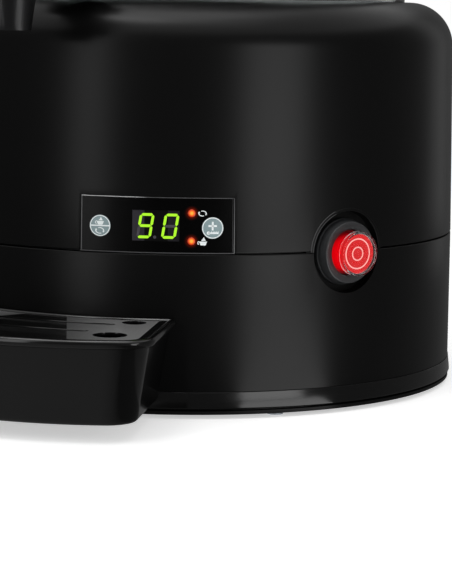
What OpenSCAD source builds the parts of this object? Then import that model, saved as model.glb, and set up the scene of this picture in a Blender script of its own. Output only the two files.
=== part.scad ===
// Round counter-top dispenser for hot chocolate: a heated base with a control panel and a drip tray,
// a clear bowl with agitator, lid and piston tap. Millimetres, front is -Y, up is +Z.
// Every size is measured from the drive axis, and the whole part is then moved so that
// the origin lies under the middle of its box.

/* [Base] */
// Diameter over the flared plinth
base_d = 280; // [274:1:300]
// Height of the joint line between the lower and upper housings
seam_h = 75.7; // [73:0.1:80]
// Height of the deck that carries the bowl
deck_h = 186; // [182:1:196]
// Thickness of both housing walls
housing_wall = 3; // [2.6:0.1:3.6]
// Radius of the rounded shoulder round the deck
shoulder_r = 22; // [18:1:24]
// Height of the rubber feet under the base plate
foot_h = 2; // [2:0.5:6]
// Open line between the two housings
seam_gap = 0.6; // [0.4:0.1:1]

/* [Control panel] */
// Turn of the panel's middle from the front towards the right, in degrees
panel_az = 20.45; // [19:0.05:23]
// Width of the panel along the curve
panel_w = 70.05; // [68:0.05:74]
// Height of the panel above the joint line
panel_h = 26; // [26:0.5:30]
// Depth of the panel's pocket at the joint line
panel_depth = 1.8; // [1.6:0.1:2]
// Width of the bevel round the pocket
panel_bevel = 1; // [0.6:0.1:1.4]
// Diameter of the two round keys
key_d = 9.7; // [9:0.1:11]
// Distance from the panel's middle to each key, along the curve
key_pitch = 25.8; // [25:0.1:26.5]
// Width of the display window
window_w = 21.8; // [20:0.2:24]
// Height of the display window
window_h = 14.2; // [13:0.2:15]
// Height of the seven-segment digits
digit_h = 11.4; // [9:0.1:12]
// Travel of the two keys
key_travel = 0.6; // [0.3:0.1:0.6]

/* [Power switch] */
// Turn of the switch from the front towards the right, in degrees
switch_az = 59.2; // [57:0.2:63]
// Diameter of the recess round the switch
recess_d = 38; // [36:0.5:40]
// Depth of the recess
recess_depth = 6; // [5:0.5:8]
// Diameter of the switch's collar
bezel_d = 31; // [29:0.5:32]
// Diameter of the clear button cap
button_d = 20.6; // [19:0.2:22]
// How far the button cap stands in front of the collar
button_out = 7.2; // [7:0.2:11]
// Travel of the button
button_travel = 3; // [2:0.5:3]

/* [Drip tray] */
// Distance from the drive axis to the front of the tray
tray_reach = 214; // [200:0.5:222]
// Width over the tray's front corners
tray_w = 148; // [140:1:156]
// Radius of the tray's front corners
tray_corner_r = 15; // [13:1:18]
// Height of the tray cover's top face
tray_top = 46.4; // [44:0.2:50]
// Height of the tray's underside
tray_bottom = 8; // [6:0.5:12]
// Wall thickness of the tray
tray_wall = 2.4; // [2:0.1:3]
// Diameter of the two front drain holes
front_hole_d = 15; // [10:0.5:16]
// Diameter of the two back drain holes
back_hole_d = 11; // [8:0.5:12]
// Width of the curved drain slots
slot_w = 3.6; // [2.5:0.1:4.5]

/* [Bowl and lid] */
// Outer diameter of the bowl
bowl_d = 224; // [218:1:228]
// Wall thickness of the bowl
bowl_wall = 3; // [2.5:0.1:4]
// Height of the bowl
bowl_h = 205; // [190:1:230]
// Height of the lid's dome
dome_h = 16; // [12:1:24]

/* [Tap] */
// Distance from the drive axis to the tap's barrel
tap_reach = 178; // [174:1:184]
// Height of the outlet above the deck
tap_rise = 27; // [26:0.5:31]
// Bore of the tap's barrel
barrel_bore = 26; // [24:0.5:27]
// Length of the lever from its pivot to the middle of its knob
lever_len = 58; // [50:1:66]
// Diameter of the lever's knob
knob_d = 20; // [17:0.5:24]

/* [Drive] */
// Teeth on the output gear
gear_teeth = 48; // [44:4:52]
// Teeth on the motor pinion
pinion_teeth = 12; // [12:1:14]
// Module of both gears
gear_module = 1.25; // [1.2:0.05:1.3]
// Diameter of the drive shaft
shaft_d = 10; // [9:0.5:11]

/* [Fits] */
// Radial clearance of a shaft in its bush
running_gap = 0.05; // [0.03:0.01:0.08]
// Clearance round pieces that slide or lift apart
slide_gap = 0.3; // [0.3:0.05:0.5]
// Radial clearance of screws in plain holes
screw_gap = 0.2; // [0.1:0.05:0.3]

/* [Hidden] */
$fn = 96;
eps = 0.5;

// Heights of the base
base_r = base_d / 2;
plate_t = 1.6;
plate_top = foot_h + plate_t;
plate_r = base_r - 0.7;
plinth_z = plate_top + 1;
plinth_top = plinth_z + 7.7;
plinth_inner_r = base_r - 15;
seam_lo = seam_h - seam_gap / 2;
seam_hi = seam_h + seam_gap / 2;
rim_h = deck_h + 4;
shoulder_z = rim_h - shoulder_r;
deck_t = 3;

// Radii of the housings
lower_r0 = base_r - 1.1;
lower_r1 = lower_r0 - 0.4;
upper_r0 = lower_r1;
upper_r1 = upper_r0 - 1.7;
seam_inner_r = lower_r1 - housing_wall;
boss_r = 5;
screw_ring_r = seam_inner_r - boss_r + 1.5;
screw_r = 2;
screw_places = [45, 95, 130, 230, 265, 315];
foot_ring_r = plinth_inner_r - 14;

// Control panel
panel_floor_r = upper_r0 - panel_depth;
bevel_slope = panel_bevel / panel_depth;
panel_top = seam_h + panel_h;
panel_angle = panel_w / upper_r0 * 180 / PI;
key_angle = key_pitch / upper_r0 * 180 / PI;
control_z = seam_h + 11.8;
overlay_t = 0.5;
overlay_r = panel_floor_r + overlay_t;
key_back_r = panel_floor_r + key_travel + 0.1;
key_t = 0.5;
stem_r = 1.7;
stem_end_r = panel_floor_r - 1.3;
board_front = panel_floor_r - 8.1;
board_t = 1.6;
board_w = 70;
board_z0 = seam_h + 2.3;
board_z1 = seam_h + 25;
board_hole_x = 31.5;
board_hole_zs = [board_z0 + 3.4, board_z1 - 3.4];
display_x = -0.1;
display_z = control_z + 0.6;
display_face = panel_floor_r - 0.1;
lamp_x = 15.9;
lamp_zs = [seam_h + 5.6, seam_h + 18.3];
lamp_r = 1.9;
digit_t = 1.2;
segment_t = 0.15;
digit_w = 5.5;
digit_slant = tan(9);
digit_xs = [-8.3, 2.95];
digit_rise = 0.5;
point_x = -0.44;
point_r = 0.7;

// Power switch
switch_z = seam_h - 0.8;
floor_d = lower_r1 - recess_depth;
pocket_wall = 3;
pocket_r = recess_d / 2 + pocket_wall;
bezel_h = 8;
bezel_front = floor_d + bezel_h;
barrel_r = 11;
barrel_end = floor_d - 20.5;
button_front = bezel_front + button_out;
button_back = floor_d + 1 + button_travel;
lens_r = button_d / 2 - 1;
cap_face_t = 0.8;
lens_drop = 2.3;
cap_skirt = 0.8;
lens_flange_t = 2;
stem_bore_r = 6;

// Drip tray
tray_back_r = base_r + slide_gap + 0.2;
cover_t = 2;
cover_skirt = 4;
skirt_w = 2.2;
tray_rim_z = tray_top - cover_t;
tray_depth = tray_reach - base_r;
cover_drop = 0.7;
cover_rim_w = 3.4;
cover_lip_w = 1.5;
back_slot_r = base_r + tray_depth * 0.236;
front_slot_r = base_r + tray_depth * 0.534;
front_hole_y = -(base_r + tray_depth * 0.554);
back_hole_y = -(tray_back_r + 3.1);
front_curve_r = base_r;
corner_x = tray_w / 2 - tray_corner_r;
wall_corner_r = tray_corner_r - skirt_w - slide_gap;
corner_draw = 1.18;
back_round_r = 13;
back_x = tray_w / 2 - 16 - back_round_r;
back_y = base_r - 12;
tongue_x = 36;
tongue_w = 18;
tongue_t = 3;
tongue_z = tray_rim_z - 7.4;

// Bowl, dish and lid
bowl_r = bowl_d / 2;
bowl_ri = bowl_r - bowl_wall;
bowl_top = deck_h + bowl_h;
bead_r = bowl_r + 2.2;
deck_pocket_r = bowl_r + 1.2;
dish_r = bowl_ri - 5;
dish_t = 1.5;
dish_top = deck_h + 10;
dish_under = dish_top - dish_t;
deck_hole_r = dish_r - 4;
column_r = shaft_d / 2 + 9.5;
column_top = dish_top + 42;
jacket_r = dish_r - 6;
jacket_z = deck_h - 40;
jacket_t = 1.5;
lid_r = bead_r + 3.3;
lid_z = bowl_top + 3;
lid_top = lid_z + dome_h;
dome_r = (lid_r * lid_r + dome_h * dome_h) / (2 * dome_h);
lid_t = 2.6;
seal_ri = bowl_ri - 3.2;
element_r = jacket_r * 0.66;
element_z = jacket_z + 14;
element_tube_r = 4.5;

// Tap
tap_z = deck_h + tap_rise;
boss_end = bowl_r + 18;
boss_ro = 16.5;
boss_ri = 12;
spigot_r = boss_ri - 0.3;
barrel_ro = barrel_bore / 2 + 6;
barrel_z0 = tap_z - 20;
barrel_z1 = tap_z + 28;
seat_z = barrel_z0 + 6;
spout_z = barrel_z0 - 18;
spout_r = 7;
piston_r = barrel_bore / 2 - slide_gap;
piston_z0 = seat_z + slide_gap;
piston_z1 = piston_z0 + 17.7;
plug_z = barrel_z1 - 5;
cap_top = barrel_z1 + 5;
rod_r = 4;
pivot_z = cap_top + 9;
pivot_off = 18;
pivot_y = -(tap_reach + pivot_off);
pin_r = 1.95;
pin_hole_r = pin_r + running_gap;
slot_gap = 0.6;
arm_x0 = rod_r + 0.6;
arm_x1 = arm_x0 + 3;
ear_x0 = arm_x1 + 0.8;
ear_x1 = ear_x0 + 4;
lever_rise = 55;
spring_turns = 4;
spring_wire = 1.2;

// Drive
gear_r = gear_module * gear_teeth / 2;
pinion_r = gear_module * pinion_teeth / 2;
motor_y = gear_r + pinion_r;
shaft_r = shaft_d / 2;
motor_r = 29;
bracket_t = 2;
bracket_z = seam_h + 24.3;
case_z1 = bracket_z + 19.5;
cover_z1 = case_z1 + 2.5;
case_w = 2 * gear_r + 16;
case_y0 = -(gear_r + 8);
case_y1 = motor_y + 20;
case_wall = 2.5;
bush_r = shaft_r + 3;
gear_z = bracket_z + 5;
gear_t = 8;
shaft_shoulder = column_top + 6;
hex_h = 12;
hex_af = shaft_d * 0.8;

// Supply board, kept inside the plinth
supply_w = 84;
supply_d = 56;
supply_t = 1.6;
supply_y = -(plinth_inner_r - 45);
supply_hole_x = supply_w / 2 - 4;
supply_hole_y = supply_d / 2 - 4;
spacer_h = 9;
spacer_peg_r = 1.5;

// Mains entry
gland_z = plinth_top + 20;
gland_bore_r = 4;
gland_r = 8;
gland_pad = lower_r0 + 0.5;
gland_end = gland_pad + 17;

// Place of the drive axis
front_reach = tap_reach + pivot_off + lever_len * cos(lever_rise) + knob_d / 2;
back_reach = gland_end;
axis_y = (front_reach - back_reach) / 2;

// Moves a piece from the drive axis to its place in the part
module placed() {
  translate([0, axis_y, 0]) children();
}

// A round bar between two heights
module rod(r, z0, z1) {
  translate([0, 0, z0]) cylinder(r = r, h = z1 - z0);
}

// A ring between two heights
module ring(ro, ri, z0, z1) {
  difference() {
    rod(ro, z0, z1);
    rod(ri, z0 - eps, z1 + eps);
  }
}

// Turns a piece so that its Z points outwards along a radius, its X along the curve and its Y up
module radial(az, z) {
  rotate([0, 0, az]) translate([0, 0, z]) rotate([90, 0, 0]) children();
}

// A plate with rounded corners, its middle at the origin
module rounded_plate(w, d, r, z0, z1) {
  translate([0, 0, z0])
    linear_extrude(z1 - z0) {
      square([w - 2 * r, d], center = true);
      square([w, d - 2 * r], center = true);
      for (x = [-1, 1], y = [-1, 1])
        translate([x * (w / 2 - r), y * (d / 2 - r)]) circle(r);
    }
}

// A box from one corner to the other
module block(a, b) {
  translate(a) cube(b - a);
}

// The places of the long housing screws
module at_screws() {
  for (az = screw_places) rotate([0, 0, az]) translate([0, -screw_ring_r, 0]) children();
}

// The places of the four feet
module at_feet() {
  for (az = [45 : 90 : 315]) rotate([0, 0, az]) translate([0, -foot_ring_r, 0]) children();
}

// The places of the screws that hold the motor bracket
module at_bracket_screws() {
  for (x = [-1, 1], y = [-1, 1]) translate([x * 66, y * 20, 0]) children();
}

// The places of the gearbox screws
module at_case_screws() {
  for (x = [-1, 1], y = [case_y0 + 5, case_y1 - 5]) translate([x * (case_w / 2 - 5), y, 0]) children();
}

module rubber_feet() {
  color("#101010") placed() at_feet() {
    rod(13, 0, foot_h);
    rod(5, 0, plate_top + 1.8);
    rod(7, plate_top, plate_top + 1.8);
  }
}

module base_plate() {
  color("#1b1b1b") placed() difference() {
    rod(plate_r, foot_h, plate_top);
    at_feet() rod(5 + screw_gap, foot_h - eps, plate_top + eps);
    at_screws() rod(screw_r + screw_gap, foot_h - eps, plate_top + eps);
    at_bracket_screws() rod(screw_r + screw_gap, foot_h - eps, plate_top + eps);
    for (x = [-40 : 16 : 40]) block([x - 2, 84, foot_h - eps], [x + 2, 108, plate_top + eps]);
  }
}

module plinth_ring() {
  color("#0c0c0c") placed() difference() {
    rotate_extrude()
      polygon([[plinth_inner_r, plate_top], [base_r - 2.5, plate_top], [base_r - 2.5, plinth_z],
        [base_r - 0.3, plinth_z], [base_r, plinth_z + 0.6], [base_r - 0.75, plinth_top - 0.5],
        [base_r - 1.1, plinth_top], [plinth_inner_r, plinth_top]]);
    at_screws() rod(screw_r + screw_gap, plate_top - eps, plinth_top + eps);
  }
}

// The cup round the power switch, up to the inside of the housing's outer face
module pocket_boss() {
  intersection() {
    radial(switch_az, switch_z) rod(pocket_r, floor_d - pocket_wall, base_r);
    rod(lower_r1 - 0.8, seam_h - 40, seam_h + 40);
  }
}

// The space of the recess and the bore for the switch's barrel
module pocket_cut() {
  radial(switch_az, switch_z) {
    rod(recess_d / 2, floor_d, base_r + 10);
    rod(barrel_r + screw_gap, floor_d - 30, base_r);
  }
}

// Everything below or above one height, for parting pieces at the joint line
module slab(z0, z1) {
  translate([-base_r, -base_r, z0]) cube([base_d, base_d, z1 - z0]);
}

// A lip that closes the joint line from inside, broken at the screw bosses
module seam_lip(from, angle, depth, rise) {
  difference() {
    rotate([0, 0, from])
      rotate_extrude(angle = angle)
        polygon([[seam_inner_r - depth, seam_h - 12], [seam_inner_r + 1, seam_h - 12],
          [seam_inner_r + 1, seam_h - 6], [seam_inner_r - 0.3, seam_h - 5],
          [seam_inner_r - 0.3, seam_h + rise], [seam_inner_r - depth, seam_h + rise]]);
    at_screws() rod(boss_r + 0.5, seam_h, seam_h + 5);
  }
}

module lower_housing() {
  color("#141414") placed() difference() {
    union() {
      rotate_extrude()
        polygon([[lower_r0 - housing_wall, plinth_top], [lower_r0, plinth_top],
          [lower_r1, seam_lo], [seam_inner_r, seam_lo]]);
      seam_lip(-14, 282, 3, 4);
      seam_lip(-91, 45, 1.9, 2);
      at_screws() rod(boss_r, plinth_top, seam_h);
      intersection() {
        pocket_boss();
        slab(plinth_top, seam_lo);
      }
      radial(180, gland_z) rod(14, lower_r0 - housing_wall - 1, gland_pad);
    }
    pocket_cut();
    at_screws() rod(screw_r + screw_gap, plinth_top - eps, seam_h + eps);
    radial(180, gland_z) rod(gland_r + 0.1, lower_r0 - 20, gland_pad + eps);
    for (x = [-tongue_x, tongue_x])
      translate([x, -lower_r0, tongue_z])
        cube([tongue_w + 2 * slide_gap, 50, tongue_t + 2 * slide_gap], center = true);
    for (side = [-1, 1], i = [0 : 4])
      radial(180 + side * (15 + 5.5 * i), plinth_top + 36)
        translate([-2, -14, lower_r0 - 10]) cube([4, 28, 20]);
  }
}

// The section of the upper housing
module upper_section() {
  shoulder_x = upper_r1 - shoulder_r;
  difference() {
    union() {
      polygon([[deck_hole_r, seam_hi], [upper_r0, seam_hi], [upper_r1, shoulder_z],
        [deck_hole_r, shoulder_z]]);
      translate([deck_hole_r, shoulder_z]) square([shoulder_x - deck_hole_r, shoulder_r]);
      intersection() {
        translate([shoulder_x, shoulder_z]) circle(shoulder_r);
        translate([shoulder_x, shoulder_z]) square(shoulder_r);
      }
    }
    polygon([[deck_hole_r - eps, seam_hi - eps], [seam_inner_r, seam_hi - eps],
      [upper_r1 - housing_wall, shoulder_z], [deck_hole_r - eps, shoulder_z]]);
    intersection() {
      union() {
        translate([shoulder_x, shoulder_z]) circle(shoulder_r - housing_wall);
        translate([deck_hole_r - eps, shoulder_z - eps])
          square([shoulder_x - deck_hole_r + eps, shoulder_r]);
      }
      translate([deck_hole_r - eps, shoulder_z - eps])
        square([base_r, deck_h - deck_t - shoulder_z + eps]);
    }
    translate([deck_hole_r - eps, deck_h]) square([deck_pocket_r - deck_hole_r + eps, 10]);
  }
}

// A corner of the panel wedge in plan: on the slanted side, some way out from the edge of the pocket floor
function wedge_point(side, out) =
  panel_floor_r * [side * sin(panel_angle / 2), -cos(panel_angle / 2)]
    + out * [side * sin(panel_angle / 2), -cos(panel_angle / 2)]
    + out * bevel_slope * [side * cos(panel_angle / 2), sin(panel_angle / 2)];

// The shallow pocket of the control panel with its bevelled edges
module panel_pocket() {
  intersection() {
    rotate_extrude()
      polygon([[panel_floor_r, seam_h - 2], [upper_r0 + 3, seam_h - 2],
        [upper_r0 + 3, panel_top + 3 * bevel_slope], [panel_floor_r, panel_top - panel_bevel]]);
    rotate([0, 0, panel_az]) translate([0, 0, seam_h - 3]) linear_extrude(panel_h + 10)
      polygon([wedge_point(-1, -20), wedge_point(-1, 20), wedge_point(1, 20), wedge_point(1, -20)]);
  }
}

// The holes of the panel floor: display, lamps and key stems
module panel_holes(key_r) {
  radial(panel_az, display_z)
    translate([display_x - window_w / 2, -window_h / 2, board_front]) cube([window_w, window_h, 30]);
  for (z = lamp_zs) radial(panel_az, z) translate([lamp_x, 0, 0]) rod(lamp_r + 0.2, board_front, base_r);
  for (side = [-1, 1]) radial(panel_az + side * key_angle, control_z) rod(key_r, board_front, base_r);
}

module upper_housing() {
  color("#141414") placed() difference() {
    union() {
      difference() {
        rotate_extrude() upper_section();
        panel_pocket();
      }
      at_screws() rod(boss_r, seam_h, seam_h + 20);
      intersection() {
        pocket_boss();
        slab(seam_hi, seam_h + 40);
      }
      intersection() {
        for (x = [-board_hole_x, board_hole_x], z = board_hole_zs)
          radial(panel_az, z) translate([x, 0, 0]) rod(3, board_front, base_r);
        rod(panel_floor_r - 0.4, seam_h, seam_h + 40);
      }
    }
    pocket_cut();
    at_screws() rod(screw_r + running_gap, seam_h - eps, seam_h + 16);
    panel_holes(stem_r + slide_gap);
    for (x = [-board_hole_x, board_hole_x], z = board_hole_zs)
      radial(panel_az, z) translate([x, 0, 0]) rod(1.05, board_front - eps, board_front + 2.5);
  }
}

module housing_screws() {
  color("#8d9094") placed() at_screws() {
    rod(3.8, foot_h - 1.6, foot_h);
    rod(screw_r, foot_h - 1, seam_h + 14);
  }
}

module cable_gland() {
  color("#181818") placed() radial(180, gland_z) difference() {
    union() {
      rod(gland_r, lower_r0 - 16, gland_end - 4);
      rod(12, gland_pad, gland_pad + 5);
      translate([0, 0, gland_pad + 5]) cylinder(r1 = 10.5, r2 = 7.5, h = 12);
    }
    rod(gland_bore_r, lower_r0 - 20, gland_end + eps);
  }
}

module gland_nut() {
  color("#202020") placed() radial(180, gland_z) {
    difference() {
      translate([0, 0, lower_r0 - housing_wall - 6]) cylinder(r = 12.5, h = 5, $fn = 6);
      rod(gland_r + running_gap, lower_r0 - 20, lower_r0);
    }
  }
}

module motor_bracket() {
  color("#a9adb0") placed() difference() {
    union() {
      block([-56, case_y0 - 2, bracket_z - bracket_t], [56, case_y1 + 10, bracket_z]);
      for (side = [-1, 1]) {
        block([side * 55 - 1, -30, plate_top], [side * 55 + 1, 30, bracket_z]);
        block([side * 65 - 11, -30, plate_top], [side * 65 + 11, 30, plate_top + bracket_t]);
      }
    }
    rod(bush_r + 1, bracket_z - 5, bracket_z + eps);
    translate([0, motor_y, 0]) rod(6, bracket_z - 5, bracket_z + eps);
    at_bracket_screws() rod(screw_r + screw_gap, plate_top - eps, plate_top + bracket_t + eps);
  }
}

module bracket_screws() {
  color("#8d9094") placed() at_bracket_screws() {
    rod(3.6, plate_top + bracket_t, plate_top + bracket_t + 2.4);
    rod(screw_r, foot_h, plate_top + bracket_t + 1);
  }
}

module motor() {
  color("#6f7377") placed() translate([0, motor_y, 0]) difference() {
    union() {
      rod(motor_r, bracket_z - 64, bracket_z - bracket_t);
      rod(motor_r - 5, bracket_z - 70, bracket_z - 63);
      for (x = [-8, 8]) translate([x - 3, motor_r - 8, bracket_z - 78]) cube([6, 1, 12]);
    }
    rod(3.4, bracket_z - 22, bracket_z);
  }
}

// One point of a gear's outline
function polar(r, a) = [r * cos(a), r * sin(a)];
function involute(a) = tan(a) * 180 / PI - a;
function flank_angle(r, rb, half) = half - involute(acos(min(1, rb / r)));

// The outline of an involute gear with shortened teeth and a little backlash
function gear_points(teeth) =
  let (rp = gear_module * teeth / 2,
    rb = rp * cos(20),
    tip = rp + 0.72 * gear_module,
    root = rp - 1.0 * gear_module,
    low = max(rb, root + 0.1),
    half = 90 / teeth + involute(20) - 0.1 / rp * 180 / PI)
  [for (i = [0 : teeth - 1]) each
    let (c = 360 * i / teeth)
    concat([polar(root, c - half)],
      [for (k = [0 : 3]) let (r = low + (tip - low) * k / 3) polar(r, c - flank_angle(r, rb, half))],
      [for (k = [3 : -1 : 0]) let (r = low + (tip - low) * k / 3) polar(r, c + flank_angle(r, rb, half))],
      [polar(root, c + half)])];

module motor_pinion() {
  color("#c9b26a") placed() translate([0, motor_y, 0]) {
    rod(3, bracket_z - 20, gear_z + gear_t + 1);
    translate([0, 0, gear_z + 0.3])
      rotate([0, 0, 90 + 180 / pinion_teeth])
        linear_extrude(gear_t) polygon(gear_points(pinion_teeth));
  }
}

module gearbox_case() {
  mid = (case_y0 + case_y1) / 2;
  long = case_y1 - case_y0;
  color("#3a3c3e") placed() difference() {
    union() {
      difference() {
        translate([0, mid, 0]) rounded_plate(case_w, long, 6, bracket_z, case_z1);
        translate([0, mid, 0])
          rounded_plate(case_w - 2 * case_wall, long - 2 * case_wall, 3.5,
            bracket_z + case_wall, case_z1 + eps);
      }
      at_case_screws() rod(3.6, bracket_z, case_z1);
    }
    rod(bush_r + running_gap, bracket_z - eps, bracket_z + case_wall + eps);
    translate([0, motor_y, 0]) rod(6, bracket_z - eps, bracket_z + case_wall + eps);
    at_case_screws() rod(1.5 + running_gap, bracket_z + 4, case_z1 + eps);
  }
}

module gearbox_cover() {
  color("#3a3c3e") placed() difference() {
    translate([0, (case_y0 + case_y1) / 2, 0])
      rounded_plate(case_w, case_y1 - case_y0, 6, case_z1, cover_z1);
    rod(bush_r + running_gap, case_z1 - eps, cover_z1 + eps);
    at_case_screws() rod(1.5 + screw_gap, case_z1 - eps, cover_z1 + eps);
  }
}

module gearbox_screws() {
  color("#8d9094") placed() at_case_screws() {
    rod(2.9, cover_z1, cover_z1 + 2);
    rod(1.5, bracket_z + 6, cover_z1 + 1);
  }
}

module output_gear() {
  color("#d8d2bd") placed() difference() {
    union() {
      translate([0, 0, gear_z]) linear_extrude(gear_t) polygon(gear_points(gear_teeth));
      rod(shaft_r + 5, gear_z - 0.7, gear_z + gear_t + 4);
    }
    rod(shaft_r + running_gap, gear_z - 5, gear_z + gear_t + 10);
    for (a = [0 : 60 : 300])
      rotate([0, 0, a]) translate([gear_r * 0.62, 0, 0]) rod(5, gear_z - 1, gear_z + 20);
  }
}

module drive_shaft() {
  color("#b9bcc0") placed() {
    rod(shaft_r, bracket_z + 0.6, shaft_shoulder);
    translate([0, 0, shaft_shoulder - 1]) cylinder(r = hex_af / sqrt(3), h = hex_h + 1, $fn = 6);
  }
}

module shaft_bushes() {
  color("#b98b45") placed() {
    difference() {
      union() {
        rod(bush_r, bracket_z, bracket_z + 4);
        rod(bush_r + 2, bracket_z + case_wall, bracket_z + 4);
        rod(bush_r, case_z1, cover_z1 + 1.5);
        rod(bush_r + 2, cover_z1, cover_z1 + 1.5);
        rod(column_r - 1.55, column_top - 12, column_top - 2);
      }
      rod(shaft_r + running_gap, bracket_z - 1, column_top);
    }
  }
}

module water_jacket() {
  color("#b4b7b9") placed() difference() {
    rotate_extrude() {
      translate([column_r, jacket_z]) square([jacket_r - column_r, jacket_t]);
      translate([column_r, jacket_z]) square([jacket_t, dish_under - jacket_z]);
      translate([jacket_r - jacket_t, jacket_z]) square([jacket_t, dish_under - jacket_z]);
    }
    for (a = [80, 100])
      rotate([0, 0, a]) translate([element_r, 0, 0])
        rod(element_tube_r + 0.2, jacket_z - eps, jacket_z + jacket_t + eps);
    translate([-50, 0, 0]) rod(3.1, jacket_z - eps, jacket_z + jacket_t + eps);
  }
}

module heating_dish() {
  color("#c3c6c8") placed() rotate_extrude() {
    translate([column_r - 1.5, dish_under]) square([dish_r - column_r + 1.5, dish_t]);
    translate([dish_r - dish_t, deck_h]) square([dish_t, dish_top - deck_h]);
    translate([column_r - 1.5, dish_under]) square([1.5, column_top - dish_under]);
    translate([shaft_r + 2, column_top - 2]) square([column_r - shaft_r - 2, 2]);
  }
}

module heating_element() {
  color("#7d7a74") placed() {
    rotate([0, 0, 100])
      rotate_extrude(angle = 340) translate([element_r, element_z]) circle(element_tube_r);
    for (a = [80, 100])
      rotate([0, 0, a]) translate([element_r, 0, 0]) {
        rod(element_tube_r, jacket_z - 8, element_z);
        translate([0, 0, element_z]) sphere(element_tube_r);
        rod(1.5, jacket_z - 18, jacket_z - 7);
      }
  }
}

module element_nuts() {
  color("#b98b45") placed() for (a = [80, 100])
    rotate([0, 0, a]) translate([element_r, 0, 0]) difference() {
      translate([0, 0, jacket_z - 5]) cylinder(r = 8, h = 5, $fn = 6);
      rod(element_tube_r + running_gap, jacket_z - 6, jacket_z + 1);
    }
}

module safety_thermostat() {
  color("#d9d4c6") placed() translate([52, 14, 0]) {
    rod(9, jacket_z - 9, jacket_z);
    rod(12, jacket_z - 1.2, jacket_z);
    for (x = [-5, 5]) translate([x - 3, -0.4, jacket_z - 17]) cube([6, 0.8, 9]);
  }
}

module temperature_probe() {
  color("#a6a9ab") placed() translate([-50, 0, 0]) {
    rod(3, jacket_z - 12, jacket_z + 32);
    rod(6, jacket_z + jacket_t, jacket_z + jacket_t + 2);
    translate([0, 0, jacket_z - 4]) cylinder(r = 6, h = 4, $fn = 6);
  }
}

module bowl_gasket() {
  color("#2a2522") placed() rotate_extrude()
    polygon([[dish_r + 0.1, deck_h], [bowl_ri - slide_gap, deck_h], [bowl_ri - slide_gap, deck_h + 4],
      [bowl_ri - 1.4, deck_h + 7], [dish_r + 0.1, deck_h + 7]]);
}

module supply_board() {
  color("#2d5b3a") placed() translate([0, supply_y, plate_top + spacer_h]) difference() {
    union() {
      block([-supply_w / 2, -supply_d / 2, 0], [supply_w / 2, supply_d / 2, supply_t]);
      block([-34, -18, 1], [2, 14, 27]);
      block([10, 4, 1], [34, 20, 17]);
      block([4, -22, 1], [34, -12, 12]);
      translate([22, -4, 0]) rod(5, 1, 17);
    }
    for (x = [-1, 1], y = [-1, 1])
      translate([x * supply_hole_x, y * supply_hole_y, 0]) rod(spacer_peg_r + 0.1, -eps, supply_t + 1);
  }
}

module board_spacers() {
  color("#d8d8d2") placed() for (x = [-1, 1], y = [-1, 1])
    translate([x * supply_hole_x, supply_y + y * supply_hole_y, plate_top]) {
      rod(3.2, 0, spacer_h);
      rod(spacer_peg_r, spacer_h - 1, spacer_h + supply_t + 1);
      rod(2.4, spacer_h + supply_t, spacer_h + supply_t + 1.6);
    }
}

module control_board() {
  color("#2d5b3a") placed() difference() {
    union() {
      radial(panel_az, 0)
        block([-board_w / 2, board_z0, board_front - board_t], [board_w / 2, board_z1, board_front]);
      for (side = [-1, 1])
        radial(panel_az, control_z) translate([side * panel_floor_r * sin(key_angle), 0, 0]) {
          block([-3, -3, board_front - 0.5], [3, 3, board_front + 2.6]);
          rod(1.6, board_front, board_front + 3.3);
        }
    }
    for (x = [-board_hole_x, board_hole_x], z = board_hole_zs)
      radial(panel_az, z) translate([x, 0, 0]) rod(1.2, board_front - board_t - eps, board_front + eps);
  }
}

module board_screws() {
  color("#8d9094") placed() for (x = [-board_hole_x, board_hole_x], z = board_hole_zs)
    radial(panel_az, z) translate([x, 0, 0]) {
      rod(2.2, board_front - board_t - 1.5, board_front - board_t);
      rod(1, board_front - board_t - 1, board_front + 2);
    }
}

module display_module() {
  color("#2b2a2d") placed() radial(panel_az, display_z)
    block([display_x - window_w / 2 + 0.2, -window_h / 2 + 0.2, board_front],
      [display_x + window_w / 2 - 0.2, window_h / 2 - 0.2, display_face]);
}

// The outline of one segment between two corners of a digit, leaning to the right
function seg_points(a, b) =
  let (u = (b - a) / norm(b - a), n = [-u[1], u[0]], g = 0.12, t = digit_t / 2)
  [for (p = [a + u * g, a + u * (g + t) + n * t, b - u * (g + t) + n * t, b - u * g,
    b - u * (g + t) - n * t, a + u * (g + t) - n * t]) [p[0] + p[1] * digit_slant, p[1]]];

// The two ends of each segment, from a to g
seg_ends = [[[0, 1], [1, 1]], [[1, 1], [1, 0.5]], [[1, 0.5], [1, 0]], [[0, 0], [1, 0]],
  [[0, 0], [0, 0.5]], [[0, 0.5], [0, 1]], [[0, 0.5], [1, 0.5]]];
shown = [[1, 1, 1, 1, 0, 1, 1], [1, 1, 1, 1, 1, 1, 0]];

// The segments of both digits that are lit or dark
module segments(lit) {
  size = [digit_w, digit_h - digit_t];
  for (d = [0, 1], s = [0 : 6]) {
    if (shown[d][s] == lit)
      radial(panel_az, control_z)
        translate([display_x + digit_xs[d], digit_rise - size[1] / 2, display_face])
          linear_extrude(segment_t)
            polygon(seg_points([for (i = [0, 1]) seg_ends[s][0][i] * size[i]],
              [for (i = [0, 1]) seg_ends[s][1][i] * size[i]]));
  }
}

module lit_segments() {
  color("#b4ff28") placed() segments(1);
}

module unlit_segments() {
  color("#6b6870") placed() {
    segments(0);
    radial(panel_az, control_z)
      translate([display_x + point_x, digit_rise + (digit_t - digit_h) / 2, 0])
        rod(point_r, display_face, display_face + segment_t);
  }
}

module signal_lamps() {
  color("#ff6a1e") placed() for (z = lamp_zs)
    radial(panel_az, z) translate([lamp_x, 0, 0]) rod(lamp_r, board_front, overlay_r - 0.6);
}

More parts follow.
